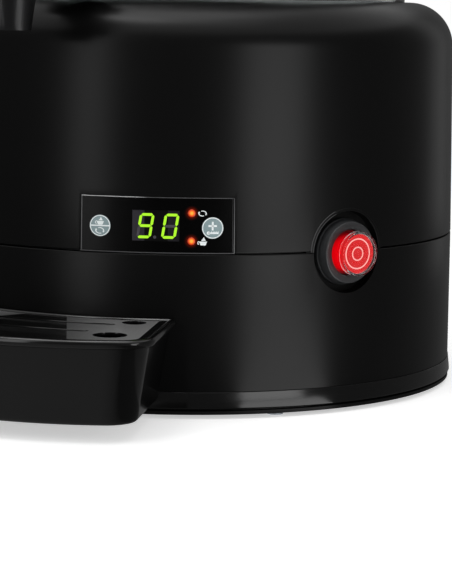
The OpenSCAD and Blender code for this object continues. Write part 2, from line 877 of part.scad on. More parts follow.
module panel_overlay() {
  half = panel_angle / 2 - 0.15;
  color("#0e0e0f") placed() difference() {
    rotate([0, 0, panel_az - half - 90])
      rotate_extrude(angle = 2 * half)
        translate([panel_floor_r, seam_hi + 0.4])
          square([overlay_t, panel_top - panel_bevel - seam_hi - 0.6]);
    panel_holes(key_d / 2 + slide_gap);
  }
}

// A round key with its stem, standing a little in front of the overlay
module key(side) {
  radial(panel_az + side * key_angle, control_z) {
    rod(key_d / 2, key_back_r, key_back_r + key_t);
    rod(stem_r, stem_end_r, key_back_r + 0.2);
  }
}

module mode_key() {
  color("#8fa3a6") placed() key(-1);
}

module plus_key() {
  color("#8fa3a6") placed() key(1);
}

module switch_bezel() {
  color("#2a2b2c") placed() radial(switch_az, switch_z) difference() {
    union() {
      rod(bezel_d / 2, floor_d, floor_d + 2.4);
      translate([0, 0, floor_d + 2.4])
        cylinder(r1 = bezel_d / 2 - 0.4, r2 = bezel_d / 2 - 1.3, h = bezel_h - 2.4);
      rod(barrel_r, barrel_end, floor_d + 1);
    }
    rod(button_d / 2 + slide_gap, floor_d + 0.7, bezel_front + eps);
    rod(stem_bore_r, barrel_end - eps, bezel_front);
  }
}

module switch_nut() {
  color("#202020") placed() radial(switch_az, switch_z) difference() {
    translate([0, 0, floor_d - pocket_wall - 4]) cylinder(r = 15, h = 4, $fn = 6);
    rod(barrel_r + running_gap, floor_d - 20, floor_d);
  }
}

module switch_body() {
  color("#26282a") placed() radial(switch_az, switch_z) {
    block([-12, -12, barrel_end - 20], [12, 12, barrel_end]);
    for (x = [-6, 6], y = [-5, 5])
      block([x - 3, y - 0.4, barrel_end - 29], [x + 3, y + 0.4, barrel_end - 19]);
  }
}

module button_lens() {
  color("#e8252b") placed() radial(switch_az, switch_z) {
    rod(lens_r, button_back, button_front - lens_drop);
    rod(button_d / 2, button_back, button_back + lens_flange_t);
    rod(stem_bore_r - slide_gap, barrel_end + button_travel + 1, button_back + 1);
  }
}

module button_cover() {
  color("#f0e6e6") placed() radial(switch_az, switch_z) difference() {
    rod(button_d / 2, button_front - lens_drop - cap_skirt, button_front);
    rod(lens_r + running_gap, button_back, button_front - cap_face_t);
  }
}

module bowl() {
  color("#dfe6e8") placed() difference() {
    union() {
      rotate_extrude() {
        translate([bowl_ri, deck_h]) square([bowl_wall, bowl_h]);
        translate([bowl_r - 1, bowl_top - 6]) square([bead_r - bowl_r - 1, 6]);
        translate([bowl_r - 1, bowl_top - 4]) square([bead_r - bowl_r + 1, 2]);
        for (z = [bowl_top - 4, bowl_top - 2]) translate([bead_r - 2, z]) circle(2);
      }
      radial(0, tap_z) rod(boss_ro, bowl_ri + 1, boss_end);
    }
    rod(bowl_ri, deck_h - eps, bowl_top + eps);
    radial(0, tap_z) rod(boss_ri, bowl_ri - 20, boss_end + eps);
  }
}

module tap_body() {
  color("#1a1a1b") placed() difference() {
    union() {
      radial(0, tap_z) {
        rod(spigot_r, bowl_ri + 0.8, boss_end + 1);
        rod(boss_ro - 0.1, boss_end, boss_end + 4);
        rod(14, boss_end, tap_reach);
      }
      translate([0, -tap_reach, 0]) {
        rod(barrel_ro, barrel_z0, barrel_z1);
        translate([0, 0, spout_z])
          cylinder(r1 = spout_r + 2.5, r2 = spout_r + 5, h = barrel_z0 - spout_z + 1);
      }
    }
    radial(0, tap_z) {
      rod(8, bowl_ri - 10, tap_reach);
      difference() {
        rod(spigot_r + 2, boss_end - 5.3, boss_end - 2.7);
        rod(spigot_r - 2.1, boss_end - 6, boss_end - 2);
      }
    }
    translate([0, -tap_reach, 0]) {
      rod(barrel_bore / 2, seat_z, barrel_z1 + eps);
      translate([0, 0, seat_z - 4]) cylinder(r1 = spout_r, r2 = barrel_bore / 2, h = 4);
      rod(spout_r, spout_z - eps, seat_z);
    }
  }
}

module tap_nut() {
  color("#101011") placed() radial(0, tap_z) difference() {
    union() {
      rod(20.2, boss_end - 8, boss_end + 6);
      for (a = [0 : 30 : 330]) rotate([0, 0, a]) translate([20, 0, 0]) rod(1.6, boss_end - 7, boss_end + 5);
    }
    rod(boss_ro + 0.2, boss_end - 9, boss_end + 4);
    rod(14.3, boss_end, boss_end + 7);
  }
}

module tap_oring() {
  color("#3a2f2a") placed() radial(0, tap_z) translate([0, 0, boss_end - 4])
    rotate_extrude() translate([spigot_r - 0.9, 0]) circle(1.1);
}

module tap_cap() {
  color("#1a1a1b") placed() translate([0, -tap_reach, 0]) difference() {
    union() {
      rod(barrel_ro + 1.5, barrel_z1, cap_top);
      rod(barrel_bore / 2 - 0.1, plug_z, cap_top);
      for (side = [-1, 1]) {
        block([side * (ear_x0 + ear_x1) / 2 - 2, -pivot_off - 5, cap_top - 1],
          [side * (ear_x0 + ear_x1) / 2 + 2, -pivot_off + 5, pivot_z]);
        translate([side * (ear_x0 + ear_x1) / 2 - 2, -pivot_off, pivot_z])
          rotate([0, 90, 0]) cylinder(r = 5, h = 4);
      }
    }
    rod(rod_r + slide_gap, plug_z - eps, cap_top + eps);
    translate([-30, -pivot_off, pivot_z]) rotate([0, 90, 0]) cylinder(r = pin_hole_r, h = 60);
  }
}

module tap_piston() {
  color("#d9d6cf") placed() translate([0, -tap_reach, 0]) difference() {
    union() {
      rod(piston_r, piston_z0, piston_z1);
      rod(rod_r, piston_z1 - 1, pivot_z + 4.5);
    }
    ring(piston_r + 2, piston_r - 2.4, piston_z0 + 2, piston_z0 + 5);
    translate([-30, 0, pivot_z]) rotate([0, 90, 0]) cylinder(r = pin_hole_r, h = 60);
  }
}

module piston_seal() {
  color("#3a2f2a") placed() translate([0, -tap_reach, piston_z0 + 3.5])
    rotate_extrude() translate([piston_r - 1.15, 0]) circle(1.2);
}

// A round wire wound as a helix between two heights
module coil(radius, wire, turns, z0, z1) {
  steps = 20 * turns;
  sides = 8;
  rise = z1 - z0 - wire;
  points = [for (i = [0 : steps], j = [0 : sides - 1])
    let (a = 360 * i / 20, b = 360 * j / sides, r = radius + wire / 2 * cos(b))
    [r * cos(a), r * sin(a), z0 + wire / 2 + rise * i / steps + wire / 2 * sin(b)]];
  skin = [for (i = [0 : steps - 1], j = [0 : sides - 1])
    let (k = (j + 1) % sides)
    [i * sides + j, (i + 1) * sides + j, (i + 1) * sides + k, i * sides + k]];
  polyhedron(points, concat(skin, [[for (j = [0 : sides - 1]) j]],
    [[for (j = [sides - 1 : -1 : 0]) steps * sides + j]]));
}

module tap_spring() {
  color("#b9bcc0") placed() translate([0, -tap_reach, 0])
    coil(8.5, spring_wire, spring_turns, piston_z1 + 0.05, plug_z - 0.05);
}

module cross_pin() {
  color("#b9bcc0") placed() translate([-arm_x1 - 0.4, -tap_reach, pivot_z])
    rotate([0, 90, 0]) cylinder(r = pin_r, h = 2 * arm_x1 + 0.8);
}

module tap_lever() {
  color("#151516") placed() translate([0, pivot_y, pivot_z]) difference() {
    union() {
      for (side = [-1, 1]) {
        translate([side * (arm_x0 + arm_x1) / 2 - 1.5, -9, -4.5]) cube([3, pivot_off + 13, 9]);
        translate([side * (arm_x0 + arm_x1) / 2 - 1.5, pivot_off + 4, 0])
          rotate([0, 90, 0]) cylinder(r = 4.5, h = 3);
      }
      translate([-arm_x1, -14, -4.5]) cube([2 * arm_x1, 8, 9]);
      translate([0, -10, 0]) rotate([90 - lever_rise, 0, 0])
        cylinder(r1 = 5.5, r2 = 4.6, h = lever_len - 16);
      rotate([90 - lever_rise, 0, 0]) cylinder(r = 3, h = lever_len);
    }
    translate([-30, 0, 0]) rotate([0, 90, 0]) cylinder(r = pin_hole_r, h = 60);
    translate([-30, pivot_off - 3, -pin_r - slot_gap]) cube([60, 9, 2 * (pin_r + slot_gap)]);
  }
}

module pivot_pin() {
  color("#b9bcc0") placed() translate([-ear_x1, pivot_y, pivot_z])
    rotate([0, 90, 0]) cylinder(r = pin_r, h = 2 * ear_x1);
}

module lever_knob() {
  color("#0d0d0e") placed() translate([0, pivot_y, pivot_z]) rotate([90 - lever_rise, 0, 0]) difference() {
    translate([0, 0, lever_len]) sphere(knob_d / 2);
    rod(3 + running_gap, 0, lever_len + 0.5);
  }
}

module agitator() {
  sleeve_ri = column_r + 1.4;
  sleeve_ro = sleeve_ri + 3.1;
  z0 = dish_top + 3;
  curve_r = (dish_r + 12) / 2;
  reach = dish_r - 10;
  sweep = 2 * asin(reach / (2 * curve_r));
  tip = [curve_r * sin(sweep), curve_r - curve_r * cos(sweep)];
  color("#e8e6df") placed() difference() {
    union() {
      rod(sleeve_ro, z0, shaft_shoulder + hex_h + 6);
      for (turn = [0, 180])
        rotate([0, 0, turn]) {
          translate([0, curve_r, z0])
            rotate([0, 0, -90])
              rotate_extrude(angle = sweep) translate([curve_r - 2, 0]) square([4, 16]);
          translate([tip[0], tip[1], z0])
            rotate([0, 0, sweep]) translate([-20, -2, 0]) cube([22, 4, 112]);
        }
    }
    rod(sleeve_ri, z0 - eps, shaft_shoulder);
    translate([0, 0, shaft_shoulder - eps])
      cylinder(r = (hex_af + 0.4) / sqrt(3), h = hex_h + 1 + eps, $fn = 6);
    for (turn = [0, 180], z = [30 : 20 : 90])
      rotate([0, 0, turn]) translate([tip[0], tip[1], z0 + z])
        rotate([90, 0, sweep]) translate([-9, 0, -5]) cylinder(r = 6, h = 10);
  }
}

// The section of the lid: a shallow dome on a flat rim with a groove for its seal
module lid_section() {
  difference() {
    union() {
      intersection() {
        translate([0, lid_top - dome_r]) circle(dome_r);
        translate([0, lid_z - eps]) square([lid_r, dome_h + 1]);
      }
      translate([0, bowl_top]) square([lid_r, lid_z - bowl_top]);
    }
    intersection() {
      translate([0, lid_top - dome_r]) circle(dome_r - lid_t);
      translate([-eps, bowl_top - 1]) square([seal_ri + eps, dome_h + 4]);
    }
    translate([seal_ri + 0.8, bowl_top - 1]) square([1, 2.5]);
  }
}

module lid() {
  color("#131314") placed() difference() {
    union() {
      rotate_extrude() lid_section();
      rod(12, lid_top - 2, lid_top + 0.4);
    }
    rod(2.2, lid_top - 10, lid_top + 5);
  }
}

module lid_seal() {
  color("#2a2522") placed() rotate_extrude() {
    translate([seal_ri, bowl_top - 8]) square([2.5, 8]);
    translate([seal_ri + 0.85, bowl_top - 1]) square([0.9, 2.4]);
  }
}

module lid_knob() {
  z = lid_top + 0.4;
  color("#0d0d0e") placed() difference() {
    rotate_extrude() {
      translate([0, z]) square([10, 9]);
      translate([0, z + 8]) square([18, 10]);
      translate([18, z + 13]) circle(5);
    }
    rod(2 + running_gap, z - eps, z + 11);
  }
}

module lid_screw() {
  color("#8d9094") placed() {
    rod(5, lid_top - lid_t - 2.45, lid_top - lid_t - 0.05);
    rod(2, lid_top - lid_t - 1, lid_top + 9);
  }
}

// The front edge of the tray, as curved as the base
module tray_front(inset, half) {
  intersection() {
    translate([0, front_curve_r - tray_reach]) circle(front_curve_r - inset, $fn = 200);
    translate([-half, -tray_reach]) square([2 * half, 25]);
  }
}

// The tray's outline, drawn in from its rim, its front corners touching the front curve
module tray_plan(inset, corner_r) {
  middle_r = front_curve_r - inset - corner_r;
  x = corner_x - corner_draw * (corner_r + inset - tray_corner_r);
  y = tray_reach - front_curve_r + sqrt(pow(middle_r, 2) - pow(x, 2));
  hull() {
    tray_front(inset, x * (front_curve_r - inset) / middle_r);
    for (side = [-1, 1]) {
      translate([side * x, -y]) circle(corner_r, $fn = 48);
      translate([side * back_x, -back_y]) circle(back_round_r - inset, $fn = 32);
    }
  }
}

// The cover's outline, whose corners get tighter as it is drawn in
module cover_plan(inset) {
  tray_plan(inset, tray_corner_r - inset);
}

// A thin slice of the tray's wall at one height, its corners as round at every height
module tray_slice(inset, z, corner_r = wall_corner_r) {
  translate([0, 0, z]) linear_extrude(0.01) tray_plan(inset, corner_r);
}

module drip_tray() {
  color("#0f0f10") placed() union() {
    difference() {
      hull() {
        tray_slice(skirt_w + slide_gap, tray_rim_z - 0.01);
        tray_slice(8, tray_bottom + 3);
        tray_slice(8.6, tray_bottom + 1);
        tray_slice(10, tray_bottom);
      }
      hull() {
        tray_slice(skirt_w + slide_gap + tray_wall, tray_rim_z + 1, wall_corner_r - tray_wall);
        tray_slice(8 + tray_wall, tray_bottom + tray_wall + 2, wall_corner_r - tray_wall);
        tray_slice(9.5 + tray_wall, tray_bottom + tray_wall, wall_corner_r - tray_wall);
      }
      rod(tray_back_r, tray_bottom - 5, tray_top + 5);
    }
    intersection() {
      hull() {
        tray_slice(skirt_w + slide_gap, tray_rim_z - 0.01);
        tray_slice(8 + tray_wall / 2, tray_bottom + 1);
      }
      ring(tray_back_r + tray_wall, tray_back_r, tray_bottom + 1, tray_rim_z);
    }
    for (x = [-tongue_x, tongue_x])
      translate([x - tongue_w / 2, -base_r - 0.4, tongue_z - tongue_t / 2]) cube([tongue_w, 18, tongue_t]);
  }
}

// A slot curved about the drive axis with round ends
module arc_slot(r, half) {
  rotate([0, 0, -half - 90])
    rotate_extrude(angle = 2 * half) translate([r - slot_w / 2, tray_rim_z - 5]) square([slot_w, 12]);
  for (side = [-1, 1])
    rotate([0, 0, side * half]) translate([0, -r, 0]) rod(slot_w / 2, tray_rim_z - 5, tray_top + 5);
}

module tray_cover() {
  color("#0f0f10") placed() difference() {
    translate([0, 0, tray_top - cover_skirt]) linear_extrude(cover_skirt) cover_plan(0);
    translate([0, 0, tray_top - cover_skirt - 1])
      linear_extrude(cover_skirt - cover_t + 1) cover_plan(skirt_w);
    rod(tray_back_r, tray_rim_z - 10, tray_top + 10);
    translate([0, 0, tray_top - cover_drop]) linear_extrude(cover_drop + 1) difference() {
      cover_plan(cover_rim_w);
      circle(tray_back_r + cover_lip_w, $fn = 180);
    }
    arc_slot(back_slot_r, 14);
    arc_slot(front_slot_r, 11.8);
    for (side = [-1, 1]) {
      translate([side * (corner_x - 7.2), front_hole_y, 0])
        rod(front_hole_d / 2, tray_rim_z - 5, tray_top + 5);
      translate([side * back_x, back_hole_y, 0])
        rod(back_hole_d / 2, tray_rim_z - 5, tray_top + 5);
    }
  }
}

rubber_feet();
base_plate();
plinth_ring();
lower_housing();
upper_housing();
housing_screws();
cable_gland();
gland_nut();
motor_bracket();
bracket_screws();
motor();
motor_pinion();
gearbox_case();
gearbox_cover();
gearbox_screws();
output_gear();
drive_shaft();
shaft_bushes();
water_jacket();
heating_dish();
heating_element();
element_nuts();
safety_thermostat();
temperature_probe();
bowl_gasket();
supply_board();
board_spacers();
control_board();
board_screws();
display_module();
lit_segments();
unlit_segments();
signal_lamps();
panel_overlay();
mode_key();
plus_key();
switch_bezel();
switch_nut();
switch_body();
button_lens();
button_cover();
bowl();
tap_body();
tap_nut();
tap_oring();
tap_cap();
tap_piston();
piston_seal();
tap_spring();
cross_pin();
tap_lever();
pivot_pin();
lever_knob();
agitator();
lid();
lid_seal();
lid_knob();
lid_screw();
drip_tray();
tray_cover();
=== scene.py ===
"""Looks of a round counter-top hot chocolate dispenser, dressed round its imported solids.

Sizes are millimetres, measured from the drive axis at the level of the table. A piece is drawn at
those sizes, and scaled to metres and moved to its place in the frame when it is finished.
"""

import logging
import math
from dataclasses import dataclass
from enum import Enum
from typing import Iterable, Sequence

import bmesh
import bpy
from mathutils import Matrix, Vector


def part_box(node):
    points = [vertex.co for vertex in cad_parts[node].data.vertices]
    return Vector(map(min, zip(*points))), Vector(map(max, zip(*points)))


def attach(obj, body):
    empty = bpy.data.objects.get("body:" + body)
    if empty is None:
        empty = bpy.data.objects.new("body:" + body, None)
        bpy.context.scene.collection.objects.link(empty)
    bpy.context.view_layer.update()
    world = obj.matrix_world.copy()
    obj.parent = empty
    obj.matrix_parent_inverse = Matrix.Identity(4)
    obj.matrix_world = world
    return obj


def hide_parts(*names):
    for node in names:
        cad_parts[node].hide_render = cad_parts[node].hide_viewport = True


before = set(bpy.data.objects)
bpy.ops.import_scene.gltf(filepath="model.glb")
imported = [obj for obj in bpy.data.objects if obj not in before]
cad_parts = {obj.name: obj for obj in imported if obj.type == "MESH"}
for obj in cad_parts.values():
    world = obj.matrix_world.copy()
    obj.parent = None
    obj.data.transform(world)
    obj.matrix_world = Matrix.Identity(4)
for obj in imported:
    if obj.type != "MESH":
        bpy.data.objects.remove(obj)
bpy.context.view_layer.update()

LOG = logging.getLogger("dispenser")
MM = 0.001
LATHE_STEPS = 256
SHARP_ANGLE = math.radians(32)
FLAT_ANGLE = math.radians(0.6)
# Corners nearer than this are one: in millimetres for a drawn shape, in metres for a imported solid
WELD = 0.0005
WELD_SOLID = 1e-6
# Places that several parts share: degrees from the front towards the right, and millimetres
PANEL_AZ = 20.45
KEY_ANGLE = 10.673
KEY_Z = 87.5
SWITCH_AZ = 59.2
SWITCH_Z = 74.9
SWITCH_FLOOR = 132.5
BASE_R = 140.0
TONGUE_X = 36.0
TONGUE_Z = 37.0

Point = tuple[float, float]
Corner = tuple[float, float, float]


def drive_axis() -> Vector:
    """Give the foot of the drive axis, which is the middle of the plinth ring, in metres."""
    low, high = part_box("plinth_ring")
    return Vector(((low.x + high.x) / 2, (low.y + high.y) / 2, 0.0))


AXIS = drive_axis()
TO_FRAME = Matrix.Translation(AXIS) @ Matrix.Scale(MM, 4)


def linear(code: str) -> tuple[float, float, float, float]:
    """Turn an sRGB hex colour into linear light.

    Args:
        code: The colour as #rrggbb.

    Returns:
        Red, green, blue and alpha.
    """
    shares = [int(code[i:i + 2], 16) / 255 for i in (1, 3, 5)]
    red, green, blue = (s / 12.92 if s <= 0.04045 else ((s + 0.055) / 1.055) ** 2.4 for s in shares)
    return red, green, blue, 1.0


def add_node(tree: bpy.types.NodeTree, kind: str, links: dict | None = None, values: dict | None = None,
             **settings: object) -> bpy.types.Node:
    """Add one node with its settings, input values and links.

    Args:
        tree: The node tree that gets it.
        kind: The node's type name.
        links: Sockets to link from, by the name or number of the input.
        values: Values of inputs that stay the same all over, by name or number.
        settings: The node's own properties.

    Returns:
        The new node.
    """
    node = tree.nodes.new(kind)
    for name, value in settings.items():
        setattr(node, name, value)
    for name, value in (values or {}).items():
        node.inputs[name].default_value = value
    for name, socket in (links or {}).items():
        tree.links.new(socket, node.inputs[name])
    return node


class Surface(Enum):
    """How the surface of a material was made."""

    MOULDED = "moulded"
    BRUSHED = "brushed"
    TURNED = "turned"
    SPANGLED = "spangled"
    PRINTED_BOARD = "printed board"


@dataclass(frozen=True)
class Fade:
    """A steady change of colour along the curve of the wall, from left to right."""

    azimuth: float
    start_mm: float
    length_mm: float

    def share(self, tree: bpy.types.NodeTree, place: bpy.types.NodeSocket) -> bpy.types.NodeSocket:
        """Tell how far along the fade a point lies.

        Args:
            tree: The material's node tree.
            place: The socket with the place on the piece, in metres.

        Returns:
            A socket that goes from 0 at the start to 1 at the end.
        """
        turn = math.radians(self.azimuth)
        along = Vector((math.cos(turn), math.sin(turn), 0.0))
        per_metre = 1 / (self.length_mm * MM)
        offset = -(along.dot(AXIS) + self.start_mm * MM) * per_metre
        turned = add_node(tree, "ShaderNodeMapping", {"Vector": place},
                          {"Location": (offset, 0, 0), "Rotation": (0, 0, -turn), "Scale": (per_metre,) * 3})
        return add_node(tree, "ShaderNodeTexGradient", {"Vector": turned.outputs["Vector"]}).outputs["Fac"]


@dataclass(frozen=True)
class Finish:
    """One real material, with the colour, gloss and texture that it gives the eye.

    The colour goes from the tint to the shade, by a slow drift of drift_mm or along the fade. The roughness goes from
    its first value to its second with the grain, which is grain_mm across and as deep as the relief. The glow is
    light of its own, which goes from glow_strength to glow_end along the fade.
    """

    name: str
    tint: str
    shade: str
    roughness: tuple[float, float]
    grain_mm: float = 0.8
    relief: float = 0.05
    drift_mm: float = 40.0
    surface: Surface = Surface.MOULDED
    metallic: float = 0.0
    specular: float = 0.5
    transmission: float = 0.0
    ior: float = 1.5
    glow: str = ""
    glow_strength: float = 0.0
    glow_end: float = 0.0
    fade: Fade | None = None

    def grain(self, tree: bpy.types.NodeTree, place: bpy.types.NodeSocket) -> bpy.types.NodeSocket:
        """Draw the fine texture of the surface.

        Args:
            tree: The material's node tree.
            place: The socket with the place on the piece, in metres.

        Returns:
            A socket with the height of the texture, from 0 to 1.
        """
        per_metre = 1 / (self.grain_mm * MM)
        if self.surface is Surface.TURNED:
            centred = add_node(tree, "ShaderNodeMapping", {"Vector": place},
                               {"Location": -AXIS * per_metre, "Scale": (per_metre,) * 3})
            return add_node(tree, "ShaderNodeTexWave", {"Vector": centred.outputs["Vector"]},
                            {"Scale": 0.32, "Distortion": 1.5, "Detail": 2.0, "Detail Scale": 0.4},
                            wave_type="RINGS", rings_direction="Z").outputs["Fac"]
        if self.surface is Surface.SPANGLED:
            return add_node(tree, "ShaderNodeTexVoronoi", {"Vector": place},
                            {"Scale": per_metre}).outputs["Distance"]
        if self.surface is Surface.PRINTED_BOARD:
            return add_node(tree, "ShaderNodeTexBrick", {"Vector": place},
                            {"Scale": per_metre, "Mortar Size": 0.04, "Mortar Smooth": 0.2},
                            offset=0.37, squash=0.8).outputs["Fac"]
        stretch = (0.03, 0.03, 1.0) if self.surface is Surface.BRUSHED else (1.0, 1.0, 1.0)
        scaled = add_node(tree, "ShaderNodeMapping", {"Vector": place}, {"Scale": stretch})
        return add_node(tree, "ShaderNodeTexNoise", {"Vector": scaled.outputs["Vector"]},
                        {"Scale": per_metre, "Detail": 3.0}).outputs["Fac"]

    def colour(self, tree: bpy.types.NodeTree, place: bpy.types.NodeSocket,
               grain: bpy.types.NodeSocket) -> bpy.types.NodeSocket:
        """Let the colour drift slowly between the tint and the shade.

        Args:
            tree: The material's node tree.
            place: The socket with the place on the piece.
            grain: The socket with the fine texture.

        Returns:
            The socket with the colour.
        """
        if self.surface is Surface.PRINTED_BOARD:
            share = grain
        elif self.fade:
            share = self.fade.share(tree, place)
        else:
            share = add_node(tree, "ShaderNodeTexNoise", {"Vector": place},
                             {"Scale": 1 / (self.drift_mm * MM), "Detail": 2.0}).outputs["Fac"]
        return add_node(tree, "ShaderNodeMix", {0: share},
                        {6: linear(self.tint), 7: linear(self.shade)}, data_type="RGBA").outputs[2]

    def light(self, tree: bpy.types.NodeTree, place: bpy.types.NodeSocket,
              shader: bpy.types.Node) -> None:
        """Set the light that the material gives off by itself.

        Args:
            tree: The material's node tree.
            place: The socket with the place on the piece.
            shader: The shader that gives off the light.
        """
        if not self.glow:
            return
        shader.inputs["Emission Color"].default_value = linear(self.glow)
        shader.inputs["Emission Strength"].default_value = self.glow_strength
        if self.fade:
            level = add_node(tree, "ShaderNodeMapRange", {"Value": self.fade.share(tree, place)},
                             {"To Min": self.glow_strength, "To Max": self.glow_end})
            tree.links.new(level.outputs["Result"], shader.inputs["Emission Strength"])

    def material(self) -> bpy.types.Material:
        """Make the material, or give the one that is there.

        Returns:
            The material.
        """
        found = bpy.data.materials.get(self.name)
        if found:
            return found
        made = bpy.data.materials.new(self.name)
        made.use_nodes = True
        tree = made.node_tree
        tree.nodes.clear()
        place = add_node(tree, "ShaderNodeTexCoord").outputs["Object"]
        grain = self.grain(tree, place)
        gloss = add_node(tree, "ShaderNodeMapRange", {"Value": grain},
                         {"To Min": self.roughness[0], "To Max": self.roughness[1]})
        bump = add_node(tree, "ShaderNodeBump", {"Height": grain},
                        {"Strength": self.relief, "Distance": self.grain_mm * MM / 4})
        shader = add_node(
            tree, "ShaderNodeBsdfPrincipled",
            {"Base Color": self.colour(tree, place, grain), "Roughness": gloss.outputs["Result"],
             "Normal": bump.outputs["Normal"]},
            {"Metallic": self.metallic, "Specular IOR Level": self.specular, "Transmission Weight": self.transmission,
             "IOR": self.ior})
        self.light(tree, place, shader)
        add_node(tree, "ShaderNodeOutputMaterial", {"Surface": shader.outputs["BSDF"]})
        return made


@dataclass(frozen=True)
class Glow(Finish):
    """A lit lens, brightest round one point and darker away from it."""

    centre: tuple[float, float, float] = (0.0, 0.0, 0.0)
    reach_mm: float = 10.0
    stops: tuple[tuple[float, str], ...] = ()

    def light(self, tree: bpy.types.NodeTree, place: bpy.types.NodeSocket,
              shader: bpy.types.Node) -> None:
        """Let the light fade from the centre outwards.

        Args:
            tree: The material's node tree.
            place: The socket with the place on the piece.
            shader: The shader that gives off the light.
        """
        scale = 1 / (self.reach_mm * MM)
        centred = add_node(tree, "ShaderNodeMapping", {"Vector": place},
                           {"Location": -Vector(self.centre) * scale, "Scale": (scale,) * 3})
        near = add_node(tree, "ShaderNodeTexGradient", {"Vector": centred.outputs["Vector"]},
                        gradient_type="SPHERICAL")
        ramp = add_node(tree, "ShaderNodeValToRGB", {"Fac": near.outputs["Fac"]})
        while len(ramp.color_ramp.elements) < len(self.stops):
            ramp.color_ramp.elements.new(0.5)
        for element, (position, code) in zip(ramp.color_ramp.elements, self.stops):
            element.position = position
            element.color = linear(code)
        tree.links.new(ramp.outputs["Color"], shader.inputs["Emission Color"])
        shader.inputs["Emission Strength"].default_value = self.glow_strength


# Satin ABS, moulded in a blasted tool: a soft black that only spreads the softboxes
HOUSING = Finish("satin_black_abs", "#060606", "#090909", (0.28, 0.33), 0.9, 0.02, specular=0.16)
# Polished ABS: the same black with clearer reflections
PLINTH = Finish("polished_black_abs", "#040404", "#060606", (0.14, 0.18), 6.0, 0.02, specular=0.42)
# Glossy moulded polystyrene of the tray: deep black, a little wavy from the mould
TRAY = Finish("glossy_black_polystyrene", "#070707", "#0a0a0a", (0.12, 0.19), 9.0, 0.03, specular=0.4)
# The same polystyrene, matt, at both sides of the cover's field: a dark grey that grows paler away from its edge,
# which is a painted sheen
PAINTED_SHEEN = {side: Finish(f"painted_sheen_polystyrene_{name}", "#434343", "#6f6f6f", (0.45, 0.55), 0.8, 0.08,
                        specular=0.15, fade=Fade(azimuth, -57.8, 22.0))
           for side, name, azimuth in ((-1, "left", 152.0), (1, "right", 28.0))}
# Powder-coated sheet steel: dark grey with a fine orange-peel skin
PLATE = Finish("powder_coated_steel", "#090909", "#0d0d0d", (0.42, 0.55), 0.9, 0.12, specular=0.15)
# Moulded rubber: matt and slightly dusty
RUBBER = Finish("black_rubber", "#121212", "#1b1b1a", (0.7, 0.85), 0.7, 0.15, specular=0.2)
# Zinc-plated steel screws: a bright, slightly blue grey
SCREW = Finish("zinc_plated_steel", "#a9adb2", "#8f949a", (0.24, 0.38), 0.6, 0.06, metallic=1.0)
# Nylon of the cable gland: black with a fine moulded grain
GLAND = Finish("black_nylon", "#131313", "#191919", (0.4, 0.52), 0.7, 0.1, specular=0.3)
# Galvanised sheet: large zinc spangles
BRACKET = Finish("galvanised_sheet", "#b5b9bc", "#9da2a6", (0.3, 0.48), 7.0, 0.04, surface=Surface.SPANGLED,
                 metallic=1.0)
# Drawn steel motor can: grey with a fine vertical brushing
MOTOR = Finish("drawn_steel", "#8a8e92", "#777b80", (0.3, 0.45), 0.5, 0.06, surface=Surface.BRUSHED, metallic=1.0)
# Machined brass: warm yellow
BRASS = Finish("machined_brass", "#d2b15e", "#b8954a", (0.18, 0.32), 0.5, 0.05, metallic=1.0)
# Glass-filled nylon gearbox: dull dark grey with a mottled skin
CASE = Finish("glass_filled_nylon", "#3a3c3e", "#46484a", (0.5, 0.65), 1.2, 0.15)
# Acetal gear: creamy white and waxy
GEAR = Finish("acetal", "#d8d2bd", "#e4dfcd", (0.3, 0.4), 1.0, 0.05)
# Ground stainless shaft: bright with fine rings
SHAFT = Finish("ground_stainless_shaft", "#c4c7ca", "#b3b6ba", (0.14, 0.26), 0.7, 0.05, surface=Surface.TURNED,
               metallic=1.0)
# Sintered bronze: brown and porous
BRONZE = Finish("sintered_bronze", "#a87a3c", "#8d6532", (0.4, 0.55), 0.6, 0.2, metallic=1.0)
# Spun stainless dish: bright with the turning rings of the spinning tool
STAINLESS = Finish("spun_stainless", "#c9ccce", "#b9bcbf", (0.16, 0.3), 1.1, 0.06, surface=Surface.TURNED,
                   metallic=1.0)
# Oxidised heating tube: brown-grey alloy
ELEMENT = Finish("oxidised_alloy", "#7d7a74", "#655f58", (0.4, 0.6), 1.5, 0.12, metallic=1.0)
# Steatite body of the thermostat: chalky cream
CERAMIC = Finish("steatite", "#d9d4c6", "#e3dfd3", (0.5, 0.62), 0.8, 0.08)
# Silicone gasket: dark brown-black, soft sheen
GASKET = Finish("dark_silicone", "#241f1d", "#2d2724", (0.4, 0.5), 1.0, 0.06)
# Printed board: green solder mask with paler tracks
BOARD = Finish("solder_mask_board", "#1f5130", "#3d7a4a", (0.3, 0.5), 9.0, 0.12, surface=Surface.PRINTED_BOARD)
# Nylon spacers: milky white
SPACER = Finish("white_nylon", "#d8d8d2", "#e6e6e0", (0.35, 0.45), 0.8, 0.05)
# Smoked display window: purple-grey and smooth, with painted light that makes it paler at its left end
DISPLAY = Finish("smoked_acrylic", "#353338", "#1d1c1f", (0.25, 0.32), 0.6, 0.02, specular=0.12,
                 fade=Fade(PANEL_AZ, -11.0, 21.8))
# Lit segments: lime light through a diffuser
LIT = Finish("lit_lime_diffuser", "#2a3a08", "#31420a", (0.4, 0.5), 0.5, 0.03, glow="#aef61f", glow_strength=1.0)
# Dark segments: milky grey diffuser, not lit
UNLIT = Finish("unlit_diffuser", "#474449", "#504d53", (0.4, 0.5), 0.5, 0.03, specular=0.1)
# Printed polyester film over the panel: near-black, and a little greyer at its left end by a painted sheen
OVERLAY = Finish("printed_polyester_film", "#0f0f0f", "#030303", (0.2, 0.27), 1.1, 0.02, specular=0.08,
                 fade=Fade(PANEL_AZ, -34.0, 34.0))
# Satin grey upper edge of the panel's pocket, with a painted highlight: near white from its left end to its middle,
# its own mid grey to the right
EDGING = Finish("satin_grey_edging", "#e2e2e3", "#5f5f60", (0.35, 0.42), 0.6, 0.03, specular=0.3,
                fade=Fade(PANEL_AZ, -9.0, 5.0))
